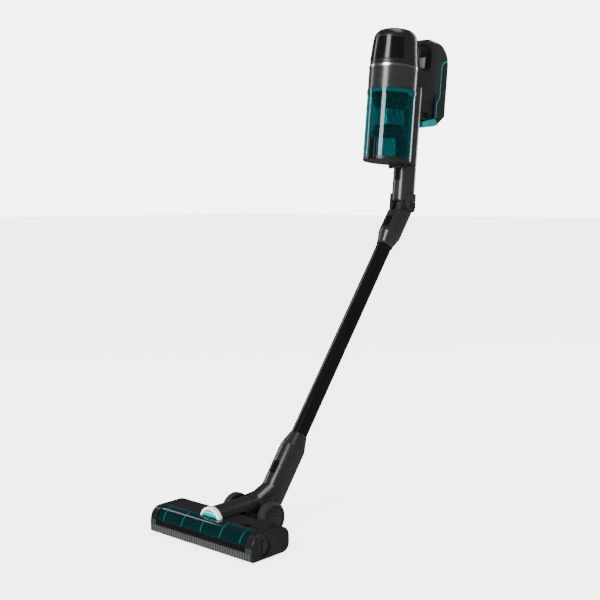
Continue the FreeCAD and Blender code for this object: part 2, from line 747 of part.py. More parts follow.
def press_button(name, low, length, radius, frame):
    """A press button that follows the round of its tube."""
    block = button_block(name + "_block", low, length, radius)
    limit = cylinder(name + "_limit", f"{radius}+button_proud", length, ("0", "0", low))
    shaped = common(name + "_shape", block, limit)
    keep(name, shaped, frame)


socket_raw = cylinder("socket_raw", "socket_radius", "socket_top-socket_bottom-clearance",
                      ("0", "0", "socket_bottom"))
socket_bore = cylinder("socket_bore", "tube_radius+clearance", "socket_top",
                       ("0", "0", "tube_foot"))
socket_air = cylinder("socket_air", "tube_radius-2", "2*socket_top", ("0", "0", "0"))
socket_button = button_well("socket_button_well", "34", "24", "socket_radius")
keep("lower_connector", cut("socket_solid", socket_raw, socket_bore, socket_air, socket_button), WAND)
press_button("head_button", "34", "24", "socket_radius", WAND)

taper_shell = turned("taper_shell", [
    ("tube_radius", "socket_top"),
    ("socket_radius", "socket_top"),
    ("socket_radius", "taper_bottom", "6"),
    ("tube_radius+1.4", "taper_top", "1"),
    ("tube_radius", "taper_top"),
], "0")
keep("connector_collar", taper_shell, WAND)
tube_length = "wand_span-flex_bottom+tube_insert-tube_foot-2*clearance"
keep("wand_tube", pipe("wand_pipe", "tube_radius", "tube_radius-tube_wall", tube_length,
                       ("0", "0", "tube_foot+clearance")), WAND)


# ---------------------------------------------------------------- folding joint

bend = size("wand_lean") - size("unit_lean")
flex_body = turned("flex_body", [
    ("tube_radius+1.2", "-flex_bottom"),
    ("flex_radius", "-(flex_bottom-flex_taper)", "10"),
    ("flex_radius", "flex_radius"),
    ("0", "flex_radius"),
    ("0", "-flex_bottom"),
], "0")
flex_top = box("flex_top", ("-60", "-60", "-flex_edge"), ("120", "120", "90"))
flex_slope = leaned("flex_slope", flex_top, -bend)
tongue = slab("tongue_block", "fork_inner-clearance", ("-fork_radius", "fork_radius"), ("-30", "0"))
tongue_round = bar("tongue_round", "fork_radius", "fork_inner-clearance", "0", "0")
tongue_inside = slab("tongue_inside", "tongue_inner", ("-60", "60"), ("-30", "60"))
tongues = cut("tongues", fuse("tongue_raw", tongue, tongue_round), tongue_inside)
fork_scoop = [cylinder(f"fork_scoop_{side}", "fork_radius+0.6", "fork_outer", (low, "0", "0"), "X")
              for side, low in (("left", "-fork_inner-fork_outer+clearance"),
                                  ("right", "fork_inner-clearance"))]
tube_bore = cylinder("tube_bore", "tube_radius+clearance", "tube_insert+1", ("0", "0", "-flex_bottom-1"))
flex_air = cylinder("flex_air", "tongue_inner", "flex_bottom+40", ("0", "0", "-flex_bottom"))
flex_pin_bore = bar("flex_pin_bore", "flex_pin+pin_play", "fork_outer", "0", "0")
flex_button_well = button_well("flex_button_well", "-68", "24", "flex_radius")
flex_shell = cut("flex_shell", flex_body, flex_slope)
keep("flex_lower", cut("flex_lower_solid", fuse("flex_forked", flex_shell, tongues), *fork_scoop,
                       tube_bore, flex_air, flex_pin_bore, flex_button_well), FLEX)
press_button("flex_button", "-68", "24", "flex_radius", FLEX)

hose_top = cylinder("hose_top", "hose_radius", "28", ("0", "0", "0"))
hose_foot = cylinder("hose_foot", "hose_radius", "30", ("0", "0", "-30"))
hose_foot_turned = leaned("hose_foot_turned", hose_foot, bend)
hose_ball = doc.addObject("Part::Sphere", "hose_ball")
bind(hose_ball, Radius="hose_radius")
keep("flex_hose", fuse("hose_solid", hose_top, hose_foot_turned, hose_ball), UNIT)

arm_tube = cylinder("arm_tube", "flex_radius", "arm_top+flex_radius", ("0", "0", "-flex_radius"))
arm_front_cut = side_plate("arm_front_cut", [
    ("0", "0"),
    ("-2*flex_radius", "2*front_edge"),
    ("-2*flex_radius", "-2*flex_radius"),
    ("2*flex_radius", "-2*flex_radius"),
    ("2*flex_radius", "2*rear_edge"),
], "-2*flex_radius", "4*flex_radius")
arm_window = bar("arm_window", "fork_radius+7", "fork_inner", "0", "0")
arm_air = cylinder("arm_air", "tongue_inner", "arm_top+9", ("0", "0", "0"))
arm_button_hole = button_well("arm_button_well", "54", "27", "flex_radius")
arm_body = cut("arm_body", arm_tube, arm_front_cut, arm_window)
fork_block = slab("fork_block", "fork_outer", ("-fork_radius", "fork_radius"), ("0", "26"))
fork_round = bar("fork_round", "fork_radius", "fork_outer", "0", "0")
fork_inside = slab("fork_inside", "fork_inner", ("-60", "60"), ("-60", "60"))
fork_raw = cut("fork_raw", fuse("fork_solid", fork_block, fork_round), fork_inside)
fork_slim = cylinder("fork_slim", "fork_outer+1", "90", ("0", "0", "-30"))
forks = common("forks", fork_raw, fork_slim)
spigot = cylinder("spigot", "duct_radius-clearance", "spine_bottom-arm_top+30",
                  ("0", "duct_offset", "arm_top-2"))
spigot_air = cylinder("spigot_air", "duct_radius-2.4", "60", ("0", "duct_offset", "arm_top-4"))
arm_pin_bore = bar("arm_pin_bore", "flex_pin", "fork_outer+3", "0", "0")
keep("flex_arm", cut("arm_solid", fuse("arm_raw", arm_body, forks, spigot), arm_air, spigot_air,
                     arm_button_hole, arm_pin_bore), UNIT)
press_button("arm_button", "54", "27", "flex_radius", UNIT)
flex_rod = bar("flex_rod", "flex_pin", "fork_outer-0.8", "0", "0")
flex_rod_gap = slab("flex_rod_gap", "tongue_inner+0.4", ("-9", "9"), ("-9", "9"))
keep("flex_pins", cut("flex_pins_solid", flex_rod, flex_rod_gap), UNIT)


# ---------------------------------------------------------------- dust cup

cup_y = "-cup_offset"
cup_outer = cylinder("cup_outer", "cup_radius", "cup_top-cup_bottom", ("0", cup_y, "cup_bottom"))
cup_inner = cylinder("cup_inner", "cup_radius-cup_wall", "cup_top", ("0", cup_y, "0"))
cup_inlet = cylinder("cup_inlet", "inlet_radius", "cup_offset", ("0", "-cup_radius", "inlet_z"), "Y")
lid_arm_room = cylinder("lid_arm_room", "flex_radius+0.8", "cup_top", ("0", "0", "0"))
floor_disc = cylinder("floor_disc", "cup_radius", "cup_bottom-lid_bottom+0.5", ("0", cup_y, "lid_bottom"))
floor_back = slab("floor_back", "cup_radius", ("lid_hinge_y+clearance/2", "0"), ("0", "cup_top"))
lid_barrel_room = bar("lid_barrel_room", "lid_knuckle+clearance", "15.3", "lid_hinge_y", "lid_hinge_z")
cup_floor = cut("cup_floor", common("floor_segment", floor_disc, floor_back), lid_arm_room)
lug_block = slab("lug_block", "19.5", ("lid_hinge_y", "lid_hinge_y+7"),
                 ("lid_hinge_z-lid_knuckle", "lid_bottom+0.5"))
lug_round = bar("lug_round", "lid_knuckle", "19.5", "lid_hinge_y", "lid_hinge_z")
lug_gap = slab("lug_gap", "15.3", ("-60", "0"), ("0", "lid_bottom"))
lugs = cut("lugs", fuse("lug_pair", lug_block, lug_round), lug_gap, lid_arm_room)
lid_rod = bar("lid_rod", "2", "19.5", "lid_hinge_y", "lid_hinge_z")
cup_base = cut("cup_base", fuse("cup_base_raw", cup_floor, lugs), lid_barrel_room)
keep("cup_shell", cut("cup_solid", fuse("cup_raw", cut("cup_tube", cup_outer, cup_inner), cup_base, lid_rod),
                      cup_inlet), UNIT)

collar_band = pipe("collar_band", "cup_radius+1.2", "cup_radius", "8", ("0", cup_y, "cup_top-8.5"))
band_gap = slab("band_gap", "flex_radius+1.5", ("-cup_offset", "60"), ("0", "2*cup_top"))
latch_block = box("latch_block", ("cup_radius-3", "-cup_offset-9", "cup_top-14"), ("6", "18", "13.5"))
latch_limit = cylinder("latch_limit", "cup_radius+2.4", "40", ("0", cup_y, "cup_top-30"))
latch_hollow = cylinder("latch_hollow", "cup_radius", "60", ("0", cup_y, "cup_top-40"))
latch_side = common("latch_side", latch_block, latch_limit)
keep("cup_collar", cut("cup_collar_solid", fuse("cup_band_raw", collar_band, latch_side), latch_hollow,
                       band_gap), UNIT)

cyclone_body = turned("cyclone_body", [
    ("drum_radius-6", "drum_top"),
    ("cyclone_radius-4", "drum_top"),
    ("cyclone_radius", "drum_top+6"),
    ("cyclone_radius", "cup_top-6"),
    ("cup_radius-cup_wall", "cup_top-3"),
    ("cup_radius-cup_wall", "cup_top"),
    ("drum_radius-6", "cup_top"),
], cup_y)
skirt = turned("skirt", [
    ("drum_radius-6", "drum_bottom"),
    ("drum_radius+2", "drum_bottom"),
    ("skirt_radius", "skirt_bottom"),
    ("skirt_radius-2.4", "skirt_bottom"),
    ("drum_radius-2", "drum_bottom-4"),
    ("drum_radius-6", "drum_bottom-4"),
], cup_y)
core_tube = pipe("core_tube", "drum_radius-4", "drum_radius-6", "drum_top-drum_bottom+8",
                 ("0", cup_y, "drum_bottom-4"))
cyclone_inlet = cylinder("cyclone_inlet", "inlet_radius", "cup_offset",
                         ("0", "-cup_offset+20", "inlet_z"), "Y")
keep("cyclone_housing", cut("cyclone_solid", fuse("cyclone_raw", cyclone_body, skirt, core_tube),
                            cyclone_inlet), UNIT)
keep("cyclone_mesh", pipe("mesh_drum", "drum_radius", "drum_radius-1.2",
                          "drum_top-drum_bottom-2*clearance",
                          ("0", cup_y, "drum_bottom+clearance")), UNIT)

lid_disc = cylinder("lid_disc", "cup_radius", "cup_bottom-lid_bottom-clearance", ("0", cup_y, "lid_bottom"))
lid_soft = soften("lid_soft", lid_disc, 1.5, rim("Z", size("lid_bottom")))
lid_barrel = bar("lid_barrel", "lid_knuckle", "15", "lid_hinge_y", "lid_hinge_z")
lid_web = slab("lid_web", "15", ("lid_hinge_y-lid_knuckle", "lid_hinge_y-clearance/2"),
               ("lid_hinge_z", "lid_bottom+0.5"))
lid_back_room = slab("lid_back_room", "cup_radius+1", ("lid_hinge_y-clearance/2", "0"),
                     ("lid_bottom", "cup_top"))
lid_rod_room = bar("lid_rod_room", "2+pin_play", "40", "lid_hinge_y", "lid_hinge_z")
lid_latch_room = box("lid_latch_room", ("-9", "-cup_offset-cup_radius-9", "0"), ("18", "12", "cup_top"))
keep("cup_lid", cut("lid_solid", fuse("lid_raw", cut("lid_plate", lid_soft, lid_back_room), lid_barrel,
                                      lid_web), lid_rod_room, lid_latch_room), UNIT)
latch_front = "-cup_offset-cup_radius"
latch_bar = box("latch_bar", ("-8", f"{latch_front}-4", "lid_bottom+1"), ("16", "9", "45"))
latch_soft = soften("latch_soft", latch_bar, 2.0, rim("Y", -size("cup_offset") - size("cup_radius") - 4))
latch_back = cylinder("latch_back", "cup_radius+clearance", "cup_top", ("0", cup_y, "0"))
keep("lid_latch", cut("lid_latch_solid", latch_soft, latch_back), UNIT)


# ---------------------------------------------------------------- motor, cap and spine

housing_tube = pipe("housing_tube", "cup_radius", "cup_radius-housing_wall", "housing_top-cup_top-0.5",
                    ("0", cup_y, "cup_top+0.5"))
housing_floor = pipe("housing_floor", "cup_radius-1", "drum_radius-6", "3", ("0", cup_y, "cup_top+0.5"))
keep("motor_housing", fuse("housing_solid", housing_tube, housing_floor), UNIT)
keep("housing_ring", pipe("ring_solid", "cup_radius+0.5", "cup_radius-4", "ring_top-housing_top",
                          ("0", cup_y, "housing_top")), UNIT)

can_body = turned("can_body", [
    ("shaft_radius+pin_play", "fan_top+2"),
    ("motor_radius", "fan_top+2"),
    ("motor_radius", "fan_top+8"),
    ("cup_radius-housing_wall", "fan_top+8"),
    ("cup_radius-housing_wall", "fan_top+11"),
    ("motor_radius", "fan_top+11"),
    ("motor_radius-6", "housing_top-2", "2"),
    ("shaft_radius+pin_play", "housing_top-2"),
], cup_y)
keep("suction_motor", can_body, UNIT)

fan_hub = cylinder("fan_hub", "9", "fan_top-fan_bottom", ("0", cup_y, "fan_bottom"))
fan_plate = cylinder("fan_plate", "fan_radius", "1.6", ("0", cup_y, "fan_top-1.6"))
fan_shaft = cylinder("fan_shaft", "shaft_radius", "housing_top-4-fan_top", ("0", cup_y, "fan_top"))
blade_count = 9
blades = []
for index in range(blade_count):
    blade = doc.addObject("Part::Box", f"blade_{index}")
    bind(blade, Length="1.6", Width="fan_radius-8", Height="fan_top-fan_bottom-2")
    angle = 360 / blade_count * index
    sweep = Rotation(Vector(0, 0, 1), angle)
    root = sweep.multVec(Vector(6, 0, 0))
    lean = Rotation(Vector(0, 0, 1), angle - 55)
    blade.Placement = Placement(root + Vector(0, -size("cup_offset"), size("fan_bottom") + 1), lean)
    blades.append(blade)
blade_limit = cylinder("blade_limit", "fan_radius", "60", ("0", cup_y, "fan_bottom-9"))
blade_ring = common("blade_ring", fuse("blade_raw", *blades), blade_limit)
keep("impeller", fuse("impeller_solid", fan_hub, fan_plate, fan_shaft, blade_ring), UNIT)

cap_shell = turned("cap_shell", [
    ("cap_radius", "ring_top+clearance"),
    ("cap_radius", "ring_top+7", "6"),
    ("cap_shoulder", "cap_top", "cap_round"),
    ("0", "cap_top"),
    ("0", "cap_top-cap_wall"),
    ("cap_shoulder-cap_wall", "cap_top-cap_wall", "cap_round-cap_wall"),
    ("cap_radius-cap_wall", "ring_top+7", "4"),
    ("cap_radius-cap_wall", "ring_top+clearance"),
], cup_y)
keep("top_cap", cap_shell, UNIT)


def visor_radius(z):
    """The cap's outer radius, as an expression, at a height on its straight flank."""
    return f"cap_radius-(cap_radius-cap_shoulder)*({z}-ring_top-7)/(cap_top-ring_top-7)"


visor_body, visor_sketch = sketched("visor_body", "XZ_Plane", ("0", "0", "cup_offset"), [
    (visor_radius("visor_bottom"), "visor_bottom"),
    (visor_radius("visor_bottom") + "+visor_proud", "visor_bottom+0.6"),
    (visor_radius("visor_top") + "+visor_proud", "visor_top-0.6"),
    (visor_radius("visor_top"), "visor_top"),
])
visor_turn = visor_body.newObject("PartDesign::Revolution", "visor_turn")
visor_turn.Profile = visor_sketch
visor_turn.ReferenceAxis = (visor_sketch, ["V_Axis"])
visor_turn.Angle = 360
visor_wedge = doc.addObject("Part::Cylinder", "visor_wedge")
bind(visor_wedge, Radius="2*cup_radius", Height="cap_top", Angle="visor_span")
settle(visor_wedge, ("0", cup_y, "0"), Rotation(Vector(0, 0, 1), -90 - size("visor_span") / 2))
keep("cap_visor", common("visor_solid", visor_body, visor_wedge), UNIT)

keep("hepa_filter", pipe("filter_solid", "filter_radius", "filter_bore", "filter_top-ring_top-2",
                         ("0", cup_y, "ring_top+2")), UNIT)

spine_raw = cylinder("spine_raw", "flex_radius", "cup_top-spine_bottom+20", ("0", "0", "spine_bottom"))
spine_cup_room = cylinder("spine_cup_room", "cup_radius+2.6", "cup_top+0.2", ("0", cup_y, "0"))
spine_top_room = cylinder("spine_top_room", "cup_radius", "cup_top", ("0", cup_y, "cup_top-2"))
spine_duct = cylinder("spine_bore", "duct_radius", "inlet_z+8-spine_bottom+3",
                      ("0", "duct_offset", "spine_bottom-3"))
spine_port = cylinder("spine_port", "inlet_radius", "60", ("0", "duct_offset-60", "inlet_z"), "Y")
keep("spine_duct", cut("spine_solid", spine_raw, spine_cup_room, spine_top_room, spine_duct,
                       spine_port), UNIT)


# ---------------------------------------------------------------- grip

def seam(forward, lift):
    """The line between grip and battery, top to bottom, moved forward and up."""
    return [
        ("grip_back+20", f"pack_top+28+{lift}"),
        (f"pack_front+6-{forward}", f"pack_top+8+{lift}"),
        (f"pack_front-{forward}", f"pack_top+{lift}*0.6"),
        (f"pack_front-{forward}", "pack_step+8"),
        (f"pack_low_front-{forward}", "pack_step-8"),
        (f"pack_low_front-{forward}", "pack_bottom-40"),
    ]


def on_rear_rim(edge):
    """Edges of the block's outline, on both side faces, along its top and back."""
    flat = any(rim("X", sign * size("grip_half"))(edge) for sign in (1, -1))
    box_of = edge.BoundBox
    return flat and (box_of.ZMax > size("grip_top") - 20 or box_of.YMin > size("grip_back") - 8)


block = side_plate("block", [
    ("4", "182"),
    ("pack_low_front", "198"),
    ("pack_front+4", "pack_bottom-2", "4"),
    ("grip_back", "206", "6"),
    ("grip_back", "grip_top", "grip_corner"),
    ("26", "grip_top", "60"),
    ("-24", "grip_top-26"),
    ("-24", "cup_top+0.5"),
    ("4", "cup_top+0.5"),
], "-grip_half", "2*grip_half")
block_soft = soften("block_soft", block, size("grip_round"), on_rear_rim)
pack_room = side_plate("pack_room", [
    *seam("(trim_wall+clearance)", "(trim_wall+clearance)"),
    ("grip_back+20", "pack_bottom-40"),
], "-2*grip_half", "4*grip_half")
grip_hole = side_plate("grip_hole", [
    ("hole_front", "hole_bottom", "9"),
    ("hole_back", "hole_bottom", "14"),
    ("hole_back", "hole_top", "17"),
    ("hole_front", "hole_top", "9"),
], "-2*grip_half", "4*grip_half")
waists = [front_plate(f"waist_{side}", [
    (f"{sign}(grip_half+1)", "pack_step+9"),
    (f"{sign}grip_half", "pack_step+9"),
    (f"{sign}grip_low_half", "pack_step-6"),
    (f"{sign}grip_low_half", "150"),
    (f"{sign}(grip_half+1)", "150"),
], "pack_low_front-9", "120") for side, sign in (("left", "-"), ("right", ""))]
grip_cup_room = cylinder("grip_cup_room", "cup_radius+0.7", "2*cap_top", ("0", cup_y, "0"))
grip_spine_room = cylinder("grip_spine_room", "flex_radius+0.1", "cup_top+21-spine_bottom",
                           ("0", "0", "spine_bottom"))
board_bay = slab("board_bay", "grip_low_half-4", ("28", "pack_low_front-9"), ("206", "276"))
trigger_bay = slab("trigger_bay", "trigger_width/2+clearance",
                   ("hole_back-9", "hole_back+5+trigger_travel+clearance"),
                   ("trigger_z-trigger_height/2-clearance", "trigger_z+trigger_height/2+clearance"))
latch_bay = box("latch_bay", ("grip_low_half-10", "24", "193.5"), ("13", "22", "11"))
grip_rear = slab("grip_rear", "2*grip_half", ("seam_y", "seam_y+90"), ("pack_step+10", "2*grip_top"))
grip_whole = cut("grip_whole", block_soft, pack_room, grip_hole, *waists, grip_cup_room,
                 grip_spine_room, board_bay, trigger_bay, latch_bay)
left_space = box("left_space", ("-90", "-90", "0"), ("90-0.05", "300", "900"))
right_space = box("right_space", ("0.05", "-90", "0"), ("90", "300", "900"))
keep("handle_left", cut("handle_left_solid", common("left_half", grip_whole, left_space), grip_rear), UNIT)
keep("handle_right", cut("handle_right_solid", common("right_half", grip_whole, right_space), grip_rear),
     UNIT)
rear_space = slab("rear_space", "2*grip_half", ("seam_y+0.15", "seam_y+90"),
                  ("pack_step+10.15", "2*grip_top"))
keep("grip_back", common("grip_back_solid", grip_whole, rear_space), UNIT)

keep("control_board", soften("board_soft", slab("board_raw", "grip_low_half-7", ("30", "32"), ("210", "270")),
                             1.0, rim("Y", 32.0)), UNIT)
trigger_block = slab("trigger_block", "trigger_width/2", ("hole_back-7", "hole_back+5"),
                     ("trigger_z-trigger_height/2", "trigger_z+trigger_height/2"))
keep("trigger", soften("trigger_soft", trigger_block, 3.0, rim("Y", size("hole_back") - 7)), UNIT)
latch_key = box("latch_key", ("grip_low_half-5.5", "24.8", "194.3"), ("4.5", "20.4", "9.4"))
keep("battery_button", soften("latch_key_soft", latch_key, 1.2,
                              rim("X", size("grip_low_half") - 1.0)), UNIT)


# ---------------------------------------------------------------- battery

pack_space = side_plate("pack_space", [
    *seam("0", "0"),
    ("grip_back+20", "pack_bottom-40"),
], "-2*grip_half", "4*grip_half")
pack_whole = common("pack_whole", block_soft, pack_space)
charge_bore = cylinder("charge_bore", "charge_radius", "charge_depth+1",
                       ("0", "grip_back-charge_depth", "charge_z"), "Y")
keep("battery_case", cut("pack_solid", pack_whole, charge_bore), UNIT)
trim_strip = side_plate("trim_strip", [
    *seam("trim_wall", "trim_wall"),
    *reversed(seam("0", "0")),
], "-2*grip_half", "4*grip_half")
keep("battery_trim", common("trim_solid", block_soft, trim_strip), UNIT)
foot_plate = side_plate("foot_plate", [
    ("26", "171"),
    ("57", "177.5"),
    ("pack_front+3", "pack_bottom-2.4"),
    ("pack_low_front", "197"),
    ("pack_low_front-trim_wall", "197"),
    ("26", "184.2"),
], "-grip_low_half-1.5", "2*grip_low_half+3")
keep("battery_foot", soften("foot_soft", foot_plate, 2.0, rim("Y", 26.0)), UNIT)


# ---------------------------------------------------------------- finish

def finish():
    """Place, name, check and write every sub-part."""
    doc.recompute()
    for label, obj, frame in nodes:
        obj.Label = label
        obj.Placement = frame
    doc.recompute()
    broken = [obj.Name for obj in doc.Objects if {"Invalid", "Error"} & set(obj.State)]
    broken += [label for label, obj, _ in nodes if obj.Shape.isNull() or not obj.Shape.isValid()]
    if broken:
        raise RuntimeError("these objects failed: " + ", ".join(broken))
    os.makedirs("parts", exist_ok=True)
    for label, obj, _ in nodes:
        obj.Shape.exportStep(f"parts/{label}.step")


finish()
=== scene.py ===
"""Finishes and fine parts for a cordless stick vacuum, laid over its fixed model."""

import json
import math

import bmesh
import bpy
from bpy.props import FloatProperty, FloatVectorProperty, IntProperty, PointerProperty
from bpy.types import Operator, Panel, PropertyGroup
from mathutils import Matrix, Vector


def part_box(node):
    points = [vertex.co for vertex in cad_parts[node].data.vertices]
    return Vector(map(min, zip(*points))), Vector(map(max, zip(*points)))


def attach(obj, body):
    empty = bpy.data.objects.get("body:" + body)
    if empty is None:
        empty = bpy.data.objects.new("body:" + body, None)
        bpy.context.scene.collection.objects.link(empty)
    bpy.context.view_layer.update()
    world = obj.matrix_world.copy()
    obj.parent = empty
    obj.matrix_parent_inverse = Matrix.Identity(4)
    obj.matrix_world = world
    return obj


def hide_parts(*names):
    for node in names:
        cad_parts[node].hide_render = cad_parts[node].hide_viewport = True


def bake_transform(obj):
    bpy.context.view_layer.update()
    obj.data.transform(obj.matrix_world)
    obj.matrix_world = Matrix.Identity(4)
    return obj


bl_info = {
    "name": "Stick Vacuum Looks",
    "version": (1, 0, 0),
    "blender": (4, 5, 0),
    "location": "View3D > Sidebar > Vacuum",
    "description": "Finishes and fine parts for a cordless stick vacuum",
    "category": "Object",
}

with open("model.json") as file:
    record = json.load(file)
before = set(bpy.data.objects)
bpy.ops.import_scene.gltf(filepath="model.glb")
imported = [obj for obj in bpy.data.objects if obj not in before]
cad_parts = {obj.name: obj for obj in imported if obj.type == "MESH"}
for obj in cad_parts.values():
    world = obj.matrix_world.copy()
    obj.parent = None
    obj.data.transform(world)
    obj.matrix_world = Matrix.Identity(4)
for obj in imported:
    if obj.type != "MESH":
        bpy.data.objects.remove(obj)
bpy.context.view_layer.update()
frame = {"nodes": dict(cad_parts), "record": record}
MM = 0.001

# ---------------------------------------------------------------- where things are

JOINTS = {joint["name"]: joint for joint in frame["record"]["behaviour"]["joints"]}


def leaned_frame(origin, up):
    """A frame whose +Z leans back along up, with +X kept."""
    up = Vector(up).normalized()
    back = Vector((0.0, up.z, -up.y))
    turn = Matrix((Vector((1.0, 0.0, 0.0)), back, up)).transposed().to_4x4()
    return Matrix.Translation(origin) @ turn


KNEE = Vector(JOINTS["knee_fold"]["pos_m"])
ELBOW = Vector(JOINTS["elbow_pitch"]["pos_m"])
UNIT_UP = -Vector(JOINTS["arm_pull"]["axis"])
WAND_UP = -Vector(JOINTS["wand_pull"]["axis"])
UNIT = leaned_frame(KNEE, UNIT_UP)
FLEX = leaned_frame(KNEE, WAND_UP)
WAND_SPAN = 678.4
WAND = FLEX @ Matrix.Translation((0.0, 0.0, -WAND_SPAN * MM))
HEAD = Matrix.Translation((0.0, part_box("front_bumper")[0].y, 0.0))
# The cup's axis and the top of its floor, in millimetres in the hand unit's frame.
CUP_Y = -65.65
CUP_FLOOR_TOP = 92.6


def at(space, x, y, z):
    """A point given in millimetres in one of the frames above."""
    return space @ Vector((x * MM, y * MM, z * MM))


# ---------------------------------------------------------------- settings

def colour(name, description, value):
    """A colour that a user may change."""
    return FloatVectorProperty(name=name, description=description, default=value, subtype="COLOR",
                               size=3, min=0.0, max=1.0)


def length(name, description, value):
    """A length that a user may change, in metres."""
    return FloatProperty(name=name, description=description, default=value, unit="LENGTH",
                         subtype="DISTANCE", min=0.0)


class VacuumFinishes(PropertyGroup):
    """Colours of the vacuum's finishes."""

    gunmetal: colour("Gunmetal", "Wand joints, motor housing and spine", (0.012, 0.0123, 0.0133))
    shell: colour("Shell", "Satin black of the grip, cap and battery", (0.0065, 0.0067, 0.0073))
    cover: colour("Cover", "Dark grey of the floor head's cover, knob and wheels", (0.009, 0.0093, 0.0102))
    gloss: colour("Gloss black", "Wand tube, visor and buttons", (0.003, 0.003, 0.0035))
    teal: colour("Clear teal", "See-through cup and brush window", (0.0, 0.23, 0.25))
    teal_band: colour("Solid teal", "Battery seam and foot", (0.0, 0.12, 0.13))
    lamp: colour("Lamp", "Light of the headlight", (0.0, 0.24, 0.23))
    white: colour("White", "Headlight frame", (0.82, 0.84, 0.84))
    steel: colour("Steel", "Pins, screws and motor cans", (0.56, 0.57, 0.58))
    rubber: colour("Rubber", "Tyres, belt and seals", (0.014, 0.014, 0.015))
    bristle: colour("Bristle", "Bristles and felt of the brush roll", (0.02, 0.021, 0.024))
    paper: colour("Filter paper", "Pleated filter", (0.78, 0.78, 0.72))


class VacuumDetails(PropertyGroup):
    """Sizes and counts of the vacuum's fine parts."""

    rib_step: length("Bumper rib step", "From one bumper rib to the next", 0.006)
    rib_width: length("Bumper rib width", "Width of one bumper rib", 0.0026)
    window_ribs: IntProperty(name="Window ribs", description="Ribs across the brush window", default=5, min=1)
    tufts: IntProperty(name="Tufts per row", description="Bristle tufts in one spiral row", default=110,
                       min=8)
    tuft_rows: IntProperty(name="Tuft rows", description="Spiral rows of bristles", default=4, min=1)
    bellows: IntProperty(name="Hose rings", description="Rings of the folding joint's hose", default=17,
                         min=4)
    pleats: IntProperty(name="Filter pleats", description="Pleats of the filter", default=54, min=12)
    mesh_holes: IntProperty(name="Drum holes", description="Holes round the cyclone's drum", default=64,
                            min=12)
    mesh_rows: IntProperty(name="Drum hole rows", description="Rows of holes on the drum", default=12, min=2)
    screw_radius: length("Screw radius", "Radius of a screw's head", 0.0029)


# ---------------------------------------------------------------- materials

def base_material(name, **sockets):
    """A material with its one shader set up by socket name."""
    material = bpy.data.materials.new(name)
    material.use_nodes = True
    shader = material.node_tree.nodes["Principled BSDF"]
    for label, value in sockets.items():
        shader.inputs[label.replace("_", " ")].default_value = value
    return material, shader


def place_of(material, stretch=(1.0, 1.0, 1.0), turn=(0.0, 0.0, 0.0)):
    """Object coordinates, stretched and turned."""
    nodes, links = material.node_tree.nodes, material.node_tree.links
    where = nodes.new("ShaderNodeTexCoord")
    mapping = nodes.new("ShaderNodeMapping")
    mapping.inputs["Scale"].default_value = stretch
    mapping.inputs["Rotation"].default_value = turn
    links.new(where.outputs["Object"], mapping.inputs["Vector"])
    return mapping.outputs["Vector"]


def noise(material, scale, detail=3.0, stretch=(1.0, 1.0, 1.0), turn=(0.0, 0.0, 0.0)):
    """A noise pattern's value."""
    node = material.node_tree.nodes.new("ShaderNodeTexNoise")
    node.inputs["Scale"].default_value = scale
    node.inputs["Detail"].default_value = detail
    material.node_tree.links.new(place_of(material, stretch, turn), node.inputs["Vector"])
    return node.outputs["Fac"]


def spread(material, value, low, high, start=0.3, stop=0.7):
    """A pattern's value brought between two numbers."""
    node = material.node_tree.nodes.new("ShaderNodeMapRange")
    node.inputs["From Min"].default_value = start
    node.inputs["From Max"].default_value = stop
    node.inputs["To Min"].default_value = low
    node.inputs["To Max"].default_value = high
    material.node_tree.links.new(value, node.inputs["Value"])
    return node.outputs["Result"]


def tones(material, value, dark, light):
    """Two colours mixed by a pattern."""
    node = material.node_tree.nodes.new("ShaderNodeValToRGB")
    node.color_ramp.elements[0].position = 0.3
    node.color_ramp.elements[1].position = 0.7
    node.color_ramp.elements[0].color = (*dark, 1.0)
    node.color_ramp.elements[1].color = (*light, 1.0)
    material.node_tree.links.new(value, node.inputs["Fac"])
    return node.outputs["Color"]


def relief(material, shader, value, strength, depth):
    """A pattern pressed into the surface."""
    node = material.node_tree.nodes.new("ShaderNodeBump")
    node.inputs["Strength"].default_value = strength
    node.inputs["Distance"].default_value = depth
    material.node_tree.links.new(value, node.inputs["Height"])
    material.node_tree.links.new(node.outputs["Normal"], shader.inputs["Normal"])


def shades(tint, amount):
    """A darker and a lighter tone of one colour."""
    return tuple(c * (1 - amount) for c in tint), tuple(min(1.0, c * (1 + amount)) for c in tint)


def moulded(name, tint, rough, vary=0.12, grain=1400.0, depth=0.00004, strength=0.25, **sockets):
    """Moulded plastic: faint clouding, fine spark texture, and rub marks in the gloss."""
    material, shader = base_material(name, **sockets)
    links = material.node_tree.links
    links.new(tones(material, noise(material, 28.0), *shades(tint, vary)), shader.inputs["Base Color"])
    rub = noise(material, 60.0, 6.0, (1.0, 1.0, 0.25))
    links.new(spread(material, rub, rough * 0.82, min(1.0, rough * 1.22)), shader.inputs["Roughness"])
    relief(material, shader, noise(material, grain, 2.0), strength, depth)
    return material


def flaked(name, tint, rough):
    """Metallic paint: tiny bright flakes under a clear coat."""
    material, shader = base_material(name, Metallic=0.1, Coat_Weight=0.6, Coat_Roughness=0.2)
    nodes, links = material.node_tree.nodes, material.node_tree.links
    flake = nodes.new("ShaderNodeTexVoronoi")
    flake.inputs["Scale"].default_value = 2600.0
    links.new(place_of(material), flake.inputs["Vector"])
    dark, light = shades(tint, 0.1)
    links.new(tones(material, flake.outputs["Distance"], light, dark), shader.inputs["Base Color"])
    links.new(spread(material, noise(material, 70.0, 5.0), rough * 0.85, rough * 1.2),
              shader.inputs["Roughness"])
    relief(material, shader, flake.outputs["Distance"], 0.01, 0.00002)
    return material


